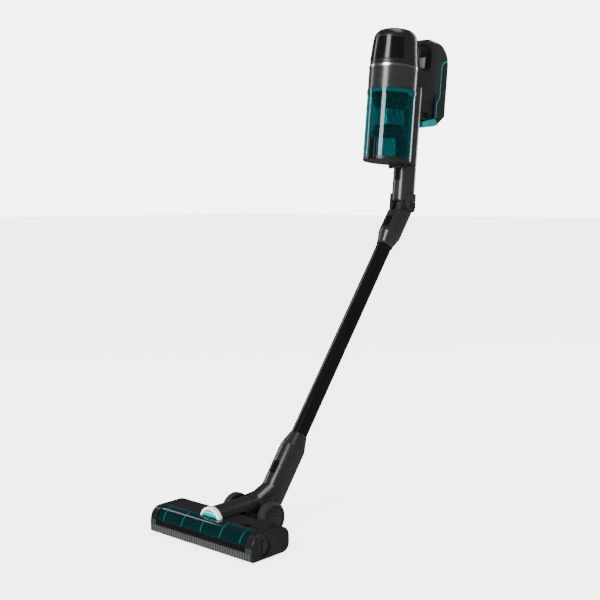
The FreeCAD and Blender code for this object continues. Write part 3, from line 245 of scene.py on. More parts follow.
def brushed(name, tint, rough, stretch=(900.0, 30.0, 30.0)):
    """Brushed metal: fine lines one way."""
    material, shader = base_material(name, Metallic=1.0)
    links = material.node_tree.links
    lines = noise(material, 1.0, 4.0, stretch)
    links.new(tones(material, lines, *shades(tint, 0.12)), shader.inputs["Base Color"])
    links.new(spread(material, lines, rough * 0.7, rough * 1.3), shader.inputs["Roughness"])
    relief(material, shader, lines, 0.12, 0.00002)
    return material


def clear(name, tint, rough, weight):
    """Tinted see-through plastic with faint handling marks."""
    material, shader = base_material(name, Transmission_Weight=weight, IOR=1.46, Coat_Weight=0.3,
                                     Coat_Roughness=0.03)
    links = material.node_tree.links
    links.new(tones(material, noise(material, 18.0), *shades(tint, 0.08)), shader.inputs["Base Color"])
    marks = noise(material, 40.0, 6.0, (1.0, 1.0, 0.3))
    links.new(spread(material, marks, rough * 0.6, rough * 1.8), shader.inputs["Roughness"])
    relief(material, shader, noise(material, 300.0, 2.0), 0.03, 0.00003)
    return material


def glowing(name, tint, power):
    """A lit lens with moulded lines across it."""
    material, shader = base_material(name, Roughness=0.12, Transmission_Weight=0.1)
    nodes, links = material.node_tree.nodes, material.node_tree.links
    wave = nodes.new("ShaderNodeTexWave")
    wave.bands_direction = "X"
    wave.inputs["Scale"].default_value = 160.0
    wave.inputs["Distortion"].default_value = 0.4
    links.new(place_of(material), wave.inputs["Vector"])
    shade = tones(material, wave.outputs["Fac"], *shades(tint, 0.18))
    links.new(shade, shader.inputs["Base Color"])
    links.new(shade, shader.inputs["Emission Color"])
    shader.inputs["Emission Strength"].default_value = power
    relief(material, shader, wave.outputs["Fac"], 0.2, 0.0002)
    return material


def fibrous(name, tint, scale=1.0):
    """Felt, bristle or paper: soft, matt, streaked."""
    material, shader = base_material(name, Sheen_Weight=0.3)
    links = material.node_tree.links
    fibre = noise(material, 700.0 * scale, 6.0, (1.0, 1.0, 0.2))
    links.new(tones(material, fibre, *shades(tint, 0.35)), shader.inputs["Base Color"])
    links.new(spread(material, fibre, 0.75, 0.95), shader.inputs["Roughness"])
    relief(material, shader, fibre, 0.5, 0.0002)
    return material


def circuit(name):
    """A green board with paler tracks."""
    material, shader = base_material(name, Coat_Weight=0.4)
    nodes, links = material.node_tree.nodes, material.node_tree.links
    tracks = nodes.new("ShaderNodeTexBrick")
    tracks.inputs["Scale"].default_value = 130.0
    tracks.inputs["Color1"].default_value = (0.01, 0.09, 0.035, 1.0)
    tracks.inputs["Color2"].default_value = (0.012, 0.11, 0.04, 1.0)
    tracks.inputs["Mortar"].default_value = (0.35, 0.28, 0.1, 1.0)
    tracks.inputs["Mortar Size"].default_value = 0.03
    links.new(place_of(material, turn=(math.pi / 2, 0.0, 0.0)), tracks.inputs["Vector"])
    links.new(tracks.outputs["Color"], shader.inputs["Base Color"])
    links.new(spread(material, noise(material, 90.0), 0.3, 0.5), shader.inputs["Roughness"])
    relief(material, shader, tracks.outputs["Fac"], 0.3, 0.0001)
    return material


FINISH_OF = {
    "gunmetal": ("motor_housing", "spine_duct", "flex_arm", "flex_lower", "lower_connector",
                 "connector_collar", "elbow_collar", "elbow_knuckle", "neck_duct"),
    "shell": ("handle_left", "handle_right", "battery_case", "top_cap", "wheel_carrier",
              "cyclone_housing", "head_housing", "cup_lid", "end_cap_left", "end_cap_right"),
    "soft_shell": ("grip_back",),
    "cover": ("top_cover", "brush_knob", "sole_plate", "wheel_left", "wheel_right"),
    "trigger_grey": ("trigger",),
    "gloss": ("cap_visor", "wand_tube", "arm_button", "flex_button", "head_button", "lid_latch",
              "battery_button", "window_slider"),
    "chrome": ("housing_ring",),
    "clear_teal": ("cup_shell",),
    "window_teal": ("brush_window",),
    "collar_teal": ("cup_collar",),
    "solid_teal": ("battery_trim", "battery_foot"),
    "steel": ("flex_pins", "elbow_pins", "suction_motor", "brush_motor", "motor_rotor"),
    "white": ("lens_frame",),
    "lamp": ("headlight_lens",),
    "rubber": ("tyre_left", "tyre_right", "roller_left", "roller_right", "drive_belt"),
    "core": ("brush_core", "impeller"),
    "board": ("control_board",),
}


def make_finishes(tints):
    """Every finish of the vacuum, by name."""
    return {
        "gunmetal": flaked("gunmetal_paint", tints.gunmetal, 0.27),
        "shell": moulded("satin_black_shell", tints.shell, 0.27, strength=0.012),
        "soft_shell": moulded("soft_touch_grip", tints.shell, 0.52, grain=2000.0, strength=0.35),
        "cover": moulded("dark_grey_cover", tints.cover, 0.29, strength=0.012),
        "trigger_grey": moulded("light_grey_trigger", (0.16, 0.165, 0.17), 0.35),
        "gloss": moulded("gloss_black", tints.gloss, 0.16, strength=0.01, Coat_Weight=0.25,
                         Coat_Roughness=0.08, Specular_IOR_Level=0.35),
        "chrome": brushed("silver_ring", (0.80, 0.81, 0.82), 0.2, (30.0, 30.0, 900.0)),
        "clear_teal": clear("clear_teal_cup", tints.teal, 0.035, 1.0),
        "window_teal": clear("clear_teal_window", tuple(c * 0.3 for c in tints.teal), 0.06, 0.9),
        "collar_teal": clear("clear_teal_collar", tuple(c * 0.45 for c in tints.teal), 0.08, 0.7),
        "solid_teal": moulded("solid_teal", tints.teal_band, 0.2, Coat_Weight=0.5),
        "rib_grey": moulded("bumper_rib_grey", (0.05, 0.051, 0.053), 0.4),
        "rib_teal": moulded("window_rib_teal", (0.004, 0.06, 0.065), 0.25),
        "steel": brushed("turned_steel", tints.steel, 0.28),
        "white": moulded("white_frame", tints.white, 0.25, vary=0.03, strength=0.1),
        "lamp": glowing("lit_teal_lens", tints.lamp, 0.3),
        "lamp_dot": glowing("lamp_dot", (0.03, 0.75, 0.7), 0.8),
        "rubber": moulded("black_rubber", tints.rubber, 0.62, grain=900.0, depth=0.0001, strength=0.4),
        "hose": moulded("hose_rubber", (0.02, 0.02, 0.021), 0.45, grain=700.0),
        "core": moulded("brush_core_plastic", (0.05, 0.051, 0.054), 0.45),
        "bristle": fibrous("bristle_fibre", tints.bristle),
        "felt": fibrous("felt_strip", (0.12, 0.015, 0.02), 1.4),
        "paper": fibrous("filter_paper", tints.paper, 0.8),
        "board": circuit("circuit_board"),
        "dark": moulded("dark_recess", (0.004, 0.004, 0.0045), 0.6),
    }


FINISHES = {}

# ---------------------------------------------------------------- mesh tools


def piece(name, mesh, finish, body, crease=35.0):
    """A finished piece from a mesh that is already in the row frame."""
    mesh.set_sharp_from_angle(angle=math.radians(crease))
    thing = bpy.data.objects.new(name, mesh)
    bpy.context.scene.collection.objects.link(thing)
    if finish is not None:
        mesh.materials.clear()
        mesh.materials.append(FINISHES[finish])
    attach(thing, body)
    return thing


def closed(name, shape, bevel=0.0):
    """A mesh from a bmesh, with doubles merged, edges eased and normals outwards."""
    bmesh.ops.remove_doubles(shape, verts=shape.verts, dist=1e-7)
    if bevel:
        sharp = [edge for edge in shape.edges if len(edge.link_faces) == 2
                 and edge.calc_face_angle(0.0) > math.radians(40)]
        bmesh.ops.bevel(shape, geom=sharp, offset=bevel, segments=2, affect="EDGES", profile=0.5)
    bmesh.ops.recalc_face_normals(shape, faces=shape.faces)
    mesh = bpy.data.meshes.new(name)
    shape.to_mesh(mesh)
    shape.free()
    for polygon in mesh.polygons:
        polygon.use_smooth = True
    return mesh


def brick(shape, low, high, space=Matrix.Identity(4)):
    """A block in a frame, in millimetres."""
    made = bmesh.ops.create_cube(shape, size=1.0)["verts"]
    centre = [(a + b) / 2 * MM for a, b in zip(low, high)]
    extent = [(b - a) * MM for a, b in zip(low, high)]
    for vert in made:
        vert.co = space @ Vector([c + v * e for c, v, e in zip(centre, vert.co, extent)])
    return made


def prism(shape, outline, low, high, space):
    """A closed outline of (y, z) points drawn along X in a frame."""
    ends = [[shape.verts.new(at(space, x, y, z)) for y, z in outline] for x in (low, high)]
    for i in range(len(outline)):
        j = (i + 1) % len(outline)
        shape.faces.new((ends[0][i], ends[0][j], ends[1][j], ends[1][i]))
    for end in ends:
        shape.faces.new(end)


def lathe(shape, outline, space, steps=64):
    """A closed outline of (radius, height) points turned about a frame's +Z."""
    rings = []
    for step in range(steps):
        angle = 2 * math.pi * step / steps
        ring = [shape.verts.new(at(space, r * math.cos(angle), r * math.sin(angle), h)) for r, h in outline]
        rings.append(ring)
    for here, there in zip(rings, rings[1:] + rings[:1]):
        for i in range(len(outline)):
            j = (i + 1) % len(outline)
            shape.faces.new((here[i], here[j], there[j], there[i]))


def facing(point, outward):
    """A frame at a point whose +Z looks outward."""
    turn = Vector(outward).normalized().to_track_quat("Z", "Y").to_matrix().to_4x4()
    return Matrix.Translation(point) @ turn


# ---------------------------------------------------------------- geometry nodes


class Tree:
    """A geometry node tree with named inputs."""

    def __init__(self, name):
        self.group = bpy.data.node_groups.new(name, "GeometryNodeTree")
        self.group.interface.new_socket("Geometry", in_out="INPUT", socket_type="NodeSocketGeometry")
        self.group.interface.new_socket("Geometry", in_out="OUTPUT", socket_type="NodeSocketGeometry")
        self.entry = self.group.nodes.new("NodeGroupInput")
        self.exit = self.group.nodes.new("NodeGroupOutput")

    def ask(self, name, kind):
        """A named input."""
        self.group.interface.new_socket(name, in_out="INPUT", socket_type="NodeSocket" + kind)

    def add(self, kind, links=(), **settings):
        """A node with its settings and its incoming links, given as {input: output socket}."""
        node = self.group.nodes.new(kind)
        for name, value in settings.items():
            setattr(node, name, value)
        for name, source in dict(links).items():
            if hasattr(source, "is_output"):
                self.group.links.new(source, node.inputs[name])
            else:
                node.inputs[name].default_value = source
        return node

    def given(self, name):
        """A named input's socket."""
        return self.entry.outputs[name]

    def finish(self, geometry):
        """Realize, set the material and end."""
        real = self.add("GeometryNodeRealizeInstances", {"Geometry": geometry})
        painted = self.add("GeometryNodeSetMaterial", {"Geometry": real.outputs["Geometry"],
                                                       "Material": self.given("Material")})
        self.group.links.new(painted.outputs["Geometry"], self.exit.inputs["Geometry"])
        return self.group


def row_tree():
    """Copies of one shape along a straight line."""
    tree = Tree("row_of_copies")
    for name, kind in (("Shape", "Object"), ("Count", "Int"), ("Start", "Vector"), ("Step", "Vector"),
                       ("Material", "Material")):
        tree.ask(name, kind)
    line = tree.add("GeometryNodeMeshLine", {"Count": tree.given("Count"),
                                             "Start Location": tree.given("Start"),
                                             "Offset": tree.given("Step")}, mode="OFFSET")
    shape = tree.add("GeometryNodeObjectInfo", {"Object": tree.given("Shape")})
    copies = tree.add("GeometryNodeInstanceOnPoints", {"Points": line.outputs["Mesh"],
                                                       "Instance": shape.outputs["Geometry"]})
    return tree.finish(copies.outputs["Instances"])


def scatter_tree():
    """Copies of one shape on points that carry a turn each, with a little seeded disorder."""
    tree = Tree("copies_on_points")
    for name, kind in (("Shape", "Object"), ("Disorder", "Float"), ("Size", "Float"), ("Seed", "Int"),
                       ("Material", "Material")):
        tree.ask(name, kind)
    turn = tree.add("GeometryNodeInputNamedAttribute", {"Name": "turn"}, data_type="FLOAT_VECTOR")
    shake = tree.add("FunctionNodeRandomValue", {"Seed": tree.given("Seed")}, data_type="FLOAT_VECTOR")
    shake.inputs["Min"].default_value = (-1.0, -1.0, -1.0)
    scaled = tree.add("ShaderNodeVectorMath", {0: shake.outputs["Value"], "Scale": tree.given("Disorder")},
                      operation="SCALE")
    summed = tree.add("ShaderNodeVectorMath", {0: turn.outputs["Attribute"], 1: scaled.outputs["Vector"]},
                      operation="ADD")
    shape = tree.add("GeometryNodeObjectInfo", {"Object": tree.given("Shape")})
    copies = tree.add("GeometryNodeInstanceOnPoints", {"Points": tree.given("Geometry"),
                                                       "Instance": shape.outputs["Geometry"],
                                                       "Rotation": summed.outputs["Vector"],
                                                       "Scale": tree.given("Size")})
    return tree.finish(copies.outputs["Instances"])


def wrapped_tree():
    """A sheet of repeated cells wrapped round an upright drum."""
    tree = Tree("cells_round_a_drum")
    for name, kind in (("Shape", "Object"), ("Around", "Int"), ("Rows", "Int"), ("Step", "Float"),
                       ("Radius", "Float"), ("Material", "Material")):
        tree.ask(name, kind)
    flat = tree.add("ShaderNodeCombineXYZ", {"X": tree.given("Step")})
    line = tree.add("GeometryNodeMeshLine", {"Count": tree.given("Around"), "Offset": flat.outputs["Vector"]},
                    mode="OFFSET")
    rise = tree.add("ShaderNodeCombineXYZ", {"Z": tree.given("Step")})
    column = tree.add("GeometryNodeMeshLine", {"Count": tree.given("Rows"), "Offset": rise.outputs["Vector"]},
                      mode="OFFSET")
    shape = tree.add("GeometryNodeObjectInfo", {"Object": tree.given("Shape")})
    tower = tree.add("GeometryNodeInstanceOnPoints", {"Points": column.outputs["Mesh"],
                                                      "Instance": shape.outputs["Geometry"]})
    sheet = tree.add("GeometryNodeInstanceOnPoints", {"Points": line.outputs["Mesh"],
                                                      "Instance": tower.outputs["Instances"]})
    real = tree.add("GeometryNodeRealizeInstances", {"Geometry": sheet.outputs["Instances"]})
    here = tree.add("GeometryNodeInputPosition")
    parts = tree.add("ShaderNodeSeparateXYZ", {"Vector": here.outputs["Position"]})
    angle = tree.add("ShaderNodeMath", {0: parts.outputs["X"], 1: tree.given("Radius")}, operation="DIVIDE")
    cosine = tree.add("ShaderNodeMath", {0: angle.outputs["Value"]}, operation="COSINE")
    sine = tree.add("ShaderNodeMath", {0: angle.outputs["Value"]}, operation="SINE")
    radius = tree.given("Radius")
    x = tree.add("ShaderNodeMath", {0: cosine.outputs["Value"], 1: radius}, operation="MULTIPLY")
    y = tree.add("ShaderNodeMath", {0: sine.outputs["Value"], 1: radius}, operation="MULTIPLY")
    bent = tree.add("ShaderNodeCombineXYZ", {"X": x.outputs["Value"], "Y": y.outputs["Value"],
                                             "Z": parts.outputs["Z"]})
    moved = tree.add("GeometryNodeSetPosition", {"Geometry": real.outputs["Geometry"],
                                                 "Position": bent.outputs["Vector"]})
    return tree.finish(moved.outputs["Geometry"])


TREES = {}
SEED = 7


def grown(tree, values, points=None):
    """The plain mesh that a node tree makes from its named inputs."""
    if tree.__name__ not in TREES:
        TREES[tree.__name__] = tree()
    group = TREES[tree.__name__]
    seed = bpy.data.objects.new("seed", points or bpy.data.meshes.new("seed"))
    bpy.context.scene.collection.objects.link(seed)
    modifier = seed.modifiers.new("grow", "NODES")
    modifier.node_group = group
    for item in group.interface.items_tree:
        if item.item_type == "SOCKET" and item.in_out == "INPUT" and item.name in values:
            modifier[item.identifier] = values[item.name]
    bpy.context.view_layer.update()
    graph = bpy.context.evaluated_depsgraph_get()
    mesh = bpy.data.meshes.new_from_object(seed.evaluated_get(graph), depsgraph=graph)
    bpy.data.objects.remove(seed)
    return mesh


def template(name, shape, bevel=0.0):
    """An object that a node tree copies; it is removed again after use."""
    thing = bpy.data.objects.new(name, closed(name, shape, bevel))
    bpy.context.scene.collection.objects.link(thing)
    return thing


def row(name, body, finish, unit, count, start, step, space=Matrix.Identity(4)):
    """A row of copies in a frame, as one piece."""
    mesh = grown(row_tree, {"Shape": unit, "Count": count, "Start": tuple(Vector(start) * MM),
                            "Step": tuple(Vector(step) * MM), "Material": FINISHES[finish]})
    mesh.transform(space)
    bpy.data.objects.remove(unit)
    return piece(name, mesh, None, body)


def scatter(name, body, finish, unit, places, disorder=0.0, size=1.0):
    """Copies at given frames, as one piece."""
    points = bpy.data.meshes.new("points")
    points.from_pydata([tuple(place.translation) for place in places], [], [])
    turns = points.attributes.new("turn", "FLOAT_VECTOR", "POINT")
    for index, place in enumerate(places):
        turns.data[index].vector = tuple(place.to_euler())
    mesh = grown(scatter_tree, {"Shape": unit, "Disorder": disorder, "Size": size, "Seed": SEED,
                                "Material": FINISHES[finish]}, points)
    bpy.data.objects.remove(unit)
    return piece(name, mesh, None, body)


# ---------------------------------------------------------------- operators


class VACUUM_OT_finishes(Operator):
    """Make every finish and put it on the model's own parts"""

    bl_idname = "vacuum.finishes"
    bl_label = "Finishes"

    def execute(self, context):
        FINISHES.update(make_finishes(context.scene.vacuum_finishes))
        for finish, names in FINISH_OF.items():
            for name in names:
                data = frame["nodes"][name].data
                data.materials.clear()
                data.materials.append(FINISHES[finish])
        cup = frame["nodes"]["cup_shell"].data
        cup.materials.append(FINISHES["shell"])
        to_unit = UNIT.inverted()
        for polygon in cup.polygons:
            if (to_unit @ polygon.center).z < CUP_FLOOR_TOP * MM:
                polygon.material_index = 1
        return {"FINISHED"}


def screw_head():
    """A domed screw head with a shallow round dip at its centre, 1 mm in radius."""
    shape = bmesh.new()
    lathe(shape, [(0.001, -0.5), (1.0, -0.5), (1.0, 0.02), (0.93, 0.14), (0.6, 0.24), (0.34, 0.26),
                  (0.001, 0.12)], Matrix.Identity(4), 20)
    return template("screw_head", shape)


class VACUUM_OT_screws(Operator):
    """Add the screws of the sole and the grip"""

    bl_idname = "vacuum.screws"
    bl_label = "Screws"

    def execute(self, context):
        size = context.scene.vacuum_details.screw_radius / MM
        down = Vector((0.0, 0.0, -1.0))
        left = Vector((-1.0, 0.0, 0.0))
        sole = [(x, y, 1.5) for x, y in ((-104, 14), (0, 14), (104, 14), (-104, 66), (-34, 74), (34, 74),
                                         (104, 66))]
        grip = [(-22, -15, 300), (-22, -15, 336), (-22, 46, 296), (-22, 26, 264), (-18, 40, 214)]
        sets = {
            "sole_screws": ("floor_head", [facing(at(HEAD, *spot), down) for spot in sole]),
            "grip_screws": ("handheld", [facing(at(UNIT, *spot), left) for spot in grip]),
        }
        for name, (body, places) in sets.items():
            scatter(name, body, "steel", screw_head(), places, size=size)
        return {"FINISHED"}


class VACUUM_OT_bumper(Operator):
    """Replace the front bumper with a ribbed one of the same size"""

    bl_idname = "vacuum.bumper"
    bl_label = "Ribbed bumper"

    def execute(self, context):
        sizes = context.scene.vacuum_details
        bar = [(0.9, 5.6), (0.9, 18.6), (2.6, 19.4), (6.6, 19.4), (7.9, 15.0), (7.9, 5.2), (1.3, 5.2)]
        lip = [(2.6, 19.5), (2.6, 20.2), (2.2, 22.0), (2.3, 25.0), (3.0, 27.2), (4.4, 28.2), (5.6, 28.2),
               (5.7, 25.0), (6.5, 19.5)]
        end = [(1.6, 5.2), (0.9, 5.6), (0.9, 27.4), (1.3, 28.0), (1.6, 28.0)]
        parts = (("bumper_bar", bar, "rubber", ((-114.8, 114.8),)),
                 ("bumper_lip", lip, "gloss", ((-114.8, 114.8),)),
                 ("bumper_ends", end, "rubber", ((-130.2, -115.0), (115.0, 130.2))))
        for name, outline, finish, spans in parts:
            shape = bmesh.new()
            for low, high in spans:
                prism(shape, outline, low, high, HEAD)
            made = piece(name, closed(name, shape), finish, "floor_head")
            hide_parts("front_bumper")
        rib = bmesh.new()
        half = sizes.rib_width / 2 / MM
        brick(rib, (-half, 0.05, 7.0), (half, 2.2, 18.5))
        low = -128.0
        count = int((-2 * low) * MM / sizes.rib_step) + 1
        row("bumper_ribs", "floor_head", "rib_grey", template("rib", rib, 0.0005), count,
            (low, 0, 0), (sizes.rib_step / MM, 0, 0), HEAD)
        return {"FINISHED"}


class VACUUM_OT_window(Operator):
    """Add the ribs of the brush window"""

    bl_idname = "vacuum.window"
    bl_label = "Window ribs"

    def execute(self, context):
        count = context.scene.vacuum_details.window_ribs
        shape = bmesh.new()
        inner, outer, half, steps = 24.6, 25.3, 1.5, 18
        rings = []
        for step in range(steps + 1):
            angle = math.radians(12 + (98 - 12) * step / steps)
            ring = [shape.verts.new((x * MM, -math.cos(angle) * r * MM, math.sin(angle) * r * MM))
                    for x, r in ((-half, inner), (half, inner), (half * 0.75, outer), (-half * 0.75, outer))]
            rings.append(ring)
        for here, there in zip(rings, rings[1:]):
            for i in range(4):
                j = (i + 1) % 4
                shape.faces.new((here[i], here[j], there[j], there[i]))
        for ring in (rings[0], rings[-1]):
            shape.faces.new(ring)
        step = 196.0 / (count - 1)
        row("window_ribs", "floor_head", "rib_teal", template("rib", shape), count,
            (-98.0, 29.0, 25.0), (step, 0, 0), HEAD)
        return {"FINISHED"}


class VACUUM_OT_brush(Operator):
    """Replace the brush sleeve with felt and spiral rows of tufts"""

    bl_idname = "vacuum.brush"
    bl_label = "Brush roll"

    def execute(self, context):
        sizes = context.scene.vacuum_details
        low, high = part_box("brush_bristles")
        centre = (low + high) / 2
        span = (high.x - low.x) / MM
        space = Matrix.Translation((low.x, centre.y, centre.z)) @ Matrix.Rotation(math.pi / 2, 4, "Y")
        felt = bmesh.new()
        lathe(felt, [(13.02, 0.0), (15.5, 0.0), (16.5, 1.5), (16.5, span - 1.5), (15.5, span), (13.02, span)],
              space, 72)
        sleeve = piece("brush_sleeve", closed("brush_sleeve", felt), "bristle", "brush_roll")
        tuft = bmesh.new()
        rings = []
        for radius, height in ((1.0, -0.5), (0.95, 2.5), (1.3, 5.0)):
            rings.append([tuft.verts.new((radius * MM * math.cos(a), radius * MM * math.sin(a), height * MM))
                          for a in (2 * math.pi * k / 6 for k in range(6))])
        for here, there in zip(rings, rings[1:]):
            for i in range(6):
                tuft.faces.new((here[i], here[(i + 1) % 6], there[(i + 1) % 6], there[i]))
        tuft.faces.new(rings[0])
        tuft.faces.new(rings[-1])
        places = []
        for line in range(sizes.tuft_rows):
            for k in range(sizes.tufts):
                share = k / (sizes.tufts - 1)
                turn = 2 * math.pi * line / sizes.tuft_rows + math.radians(150) * abs(share - 0.5) * 2
                out = Vector((0.0, math.cos(turn), math.sin(turn)))
                root = Vector((low.x + (1.5 + share * (span - 3.0)) * MM, centre.y, centre.z))
                places.append(facing(root + out * 16.2 * MM, out))
        tufts = scatter("brush_tufts", "brush_roll", "bristle", template("tuft", tuft), places,
                        disorder=0.06)
        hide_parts("brush_bristles")
        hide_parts("brush_bristles")
        return {"FINISHED"}


class VACUUM_OT_hose(Operator):
    """Replace the folding joint's hose with a ringed bellows"""

    bl_idname = "vacuum.hose"
    bl_label = "Joint hose"

    def execute(self, context):
        rings = context.scene.vacuum_details.bellows
        top, knee, foot = at(UNIT, 0, 0, 27.5), KNEE, at(FLEX, 0, 0, -29.5)
        steps, sides = rings * 6, 40
        shape = bmesh.new()
        loops = []
        for step in range(steps + 1):
            t = step / steps
            centre = top * (1 - t) ** 2 + knee * 2 * t * (1 - t) + foot * t ** 2
            along = ((knee - top) * (1 - t) + (foot - knee) * t).normalized()
            side = Vector((1.0, 0.0, 0.0))
            across = along.cross(side)
            radius = (11.1 + 1.0 * math.cos(2 * math.pi * t * rings)) * MM
            loops.append([shape.verts.new(centre + (side * math.cos(a) + across * math.sin(a)) * radius)
                          for a in (2 * math.pi * k / sides for k in range(sides))])
        for here, there in zip(loops, loops[1:]):
            for i in range(sides):
                j = (i + 1) % sides
                shape.faces.new((here[i], here[j], there[j], there[i]))
        shape.faces.new(loops[0])
        shape.faces.new(loops[-1])
        mesh = closed("joint_bellows", shape)
        mesh.materials.append(FINISHES["hose"])
        hose = bpy.data.objects.new("joint_bellows", mesh)
        bpy.context.scene.collection.objects.link(hose)
        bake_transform(hose)
        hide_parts("flex_hose")
        return {"FINISHED"}


class VACUUM_OT_filter(Operator):
    """Replace the filter with a pleated one between two rims"""

    bl_idname = "vacuum.filter"
    bl_label = "Pleated filter"

    def execute(self, context):
        pleats = context.scene.vacuum_details.pleats
        low, high = 286.0, 330.0
        axis = UNIT @ Matrix.Translation((0.0, CUP_Y * MM, 0.0))
        shape = bmesh.new()
        count = pleats * 2
        walls = []
        for outer in (True, False):
            rings = []
            for height in (low, high):
                ring = []
                for k in range(count):
                    radius = (36.0 if k % 2 else 31.5) if outer else (27.0 if k % 2 else 22.5)
                    angle = 2 * math.pi * k / count
                    spot = at(axis, radius * math.cos(angle), radius * math.sin(angle), height)
                    ring.append(shape.verts.new(spot))
                rings.append(ring)
            walls.append(rings)
        for k in range(count):
            j = (k + 1) % count
            (a, b), (c, d) = walls
            shape.faces.new((a[k], a[j], b[j], b[k]))
            shape.faces.new((c[k], c[j], d[j], d[k]))
            shape.faces.new((a[k], a[j], c[j], c[k]))
            shape.faces.new((b[k], b[j], d[j], d[k]))
        pack = piece("filter_pleats", closed("filter_pleats", shape), "paper", "filter_cap",
                     20.0)
        rims = bmesh.new()
        for height in (low - 2.0, high - 1.0):
            lathe(rims, [(20.0, height), (36.9, height), (36.9, height + 3.0), (20.0, height + 3.0)], axis)
        rim = piece("filter_rims", closed("filter_rims", rims, 0.0004), "rubber", "filter_cap")
        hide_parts("hepa_filter")
        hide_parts("hepa_filter")
        return {"FINISHED"}


class VACUUM_OT_drum(Operator):
    """Replace the cyclone's drum with a perforated one"""

    bl_idname = "vacuum.drum"
    bl_label = "Perforated drum"

    def execute(self, context):
        sizes = context.scene.vacuum_details
        radius = 29.8 * MM
        step = 2 * math.pi * radius / sizes.mesh_holes
        shape = bmesh.new()
        half, hole = step / 2, step * 0.3
        corners, round_ = [], []
        for k in range(8):
            angle = math.pi / 4 * k
            x, z = math.cos(angle), math.sin(angle)
            reach = half / max(abs(x), abs(z))
            corners.append(shape.verts.new((x * reach + half, 0.0, z * reach + half)))
            round_.append(shape.verts.new((x * hole + half, 0.0, z * hole + half)))
        for k in range(8):
            j = (k + 1) % 8
            shape.faces.new((corners[k], corners[j], round_[j], round_[k]))
        cell = template("cell", shape)
        low = 160.4
        rows = min(sizes.mesh_rows, int(34.0 * MM / step))
        mesh = grown(wrapped_tree, {"Shape": cell, "Around": sizes.mesh_holes, "Rows": rows, "Step": step,
                                    "Radius": radius, "Material": FINISHES["steel"]})
        bpy.data.objects.remove(cell)
        sheet = bmesh.new()
        sheet.from_mesh(mesh)
        bmesh.ops.remove_doubles(sheet, verts=sheet.verts, dist=1e-5)
        bmesh.ops.recalc_face_normals(sheet, faces=sheet.faces)
        bmesh.ops.solidify(sheet, geom=sheet.faces, thickness=0.0006)
        sheet.to_mesh(mesh)
        sheet.free()
        mesh.transform(UNIT @ Matrix.Translation((0.0, CUP_Y * MM, low * MM)))
        drum = piece("drum_mesh", mesh, None, "dust_cup")
        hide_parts("cyclone_mesh")
        return {"FINISHED"}


class VACUUM_OT_lamp(Operator):
    """Add the row of lamp dots on the headlight lens"""

    bl_idname = "vacuum.lamp"
    bl_label = "Headlight dots"

    def execute(self, context):
        shape = bmesh.new()
        lathe(shape, [(0.001, -0.6), (2.0, -0.6), (2.0, 0.1), (1.5, 0.7), (0.001, 0.9)],
              Matrix.Identity(4), 20)
        forward = Vector((0.0, -1.0, 0.0))
        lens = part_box("headlight_lens")[0].y / MM - at(HEAD, 0, 0, 0).y / MM
        places = [facing(at(HEAD, x, lens - 0.1, 58.6 - 0.012 * x * x), forward)
                  for x in (-10.5, -3.5, 3.5, 10.5)]
        scatter("lamp_dots", "floor_head", "lamp_dot", template("dot", shape), places)
        return {"FINISHED"}


class VACUUM_OT_ribs(Operator):
    """Add the finger ribs of the buttons, the latch and the slide"""

    bl_idname = "vacuum.ribs"
    bl_label = "Finger ribs"

    def execute(self, context):
        rows = (
            ("socket_button_ribs", "socket_release", WAND, (-3.6, -26.7, -0.5), (3.6, -25.6, 0.5),
             4, (0, 0, 38.5), (0, 0, 2.4)),
            ("knee_button_ribs", "knee_release", FLEX, (-3.6, -25.7, -0.5), (3.6, -24.6, 0.5),
             4, (0, 0, -63.5), (0, 0, 2.4)),
            ("arm_button_ribs", "arm_release", UNIT, (-3.6, -25.7, -0.5), (3.6, -24.6, 0.5),
             4, (0, 0, 58.5), (0, 0, 2.4)),
            ("latch_ribs", "lid_latch", UNIT, (-5.5, -121.0, -0.6), (5.5, -119.8, 0.6),
             5, (0, 0, 92), (0, 0, 2.8)),
            ("battery_button_ribs", "battery_release", UNIT, (16.6, -0.6, -3.4), (17.4, 0.6, 3.4),
             5, (0, 29.4, 199), (0, 2.8, 0)),
            ("slide_ribs", "window_slider", HEAD, (-0.4, -2.8, 0.0), (0.4, 2.8, 1.6),
             4, (77.8, 40.7, 49.9), (2.1, 0, 0)),
        )
        for name, body, space, low, high, count, start, step in rows:
            shape = bmesh.new()
            brick(shape, low, high)
            row(name, body, "gloss", template("rib", shape, 0.0003), count, start, step, space)
        return {"FINISHED"}


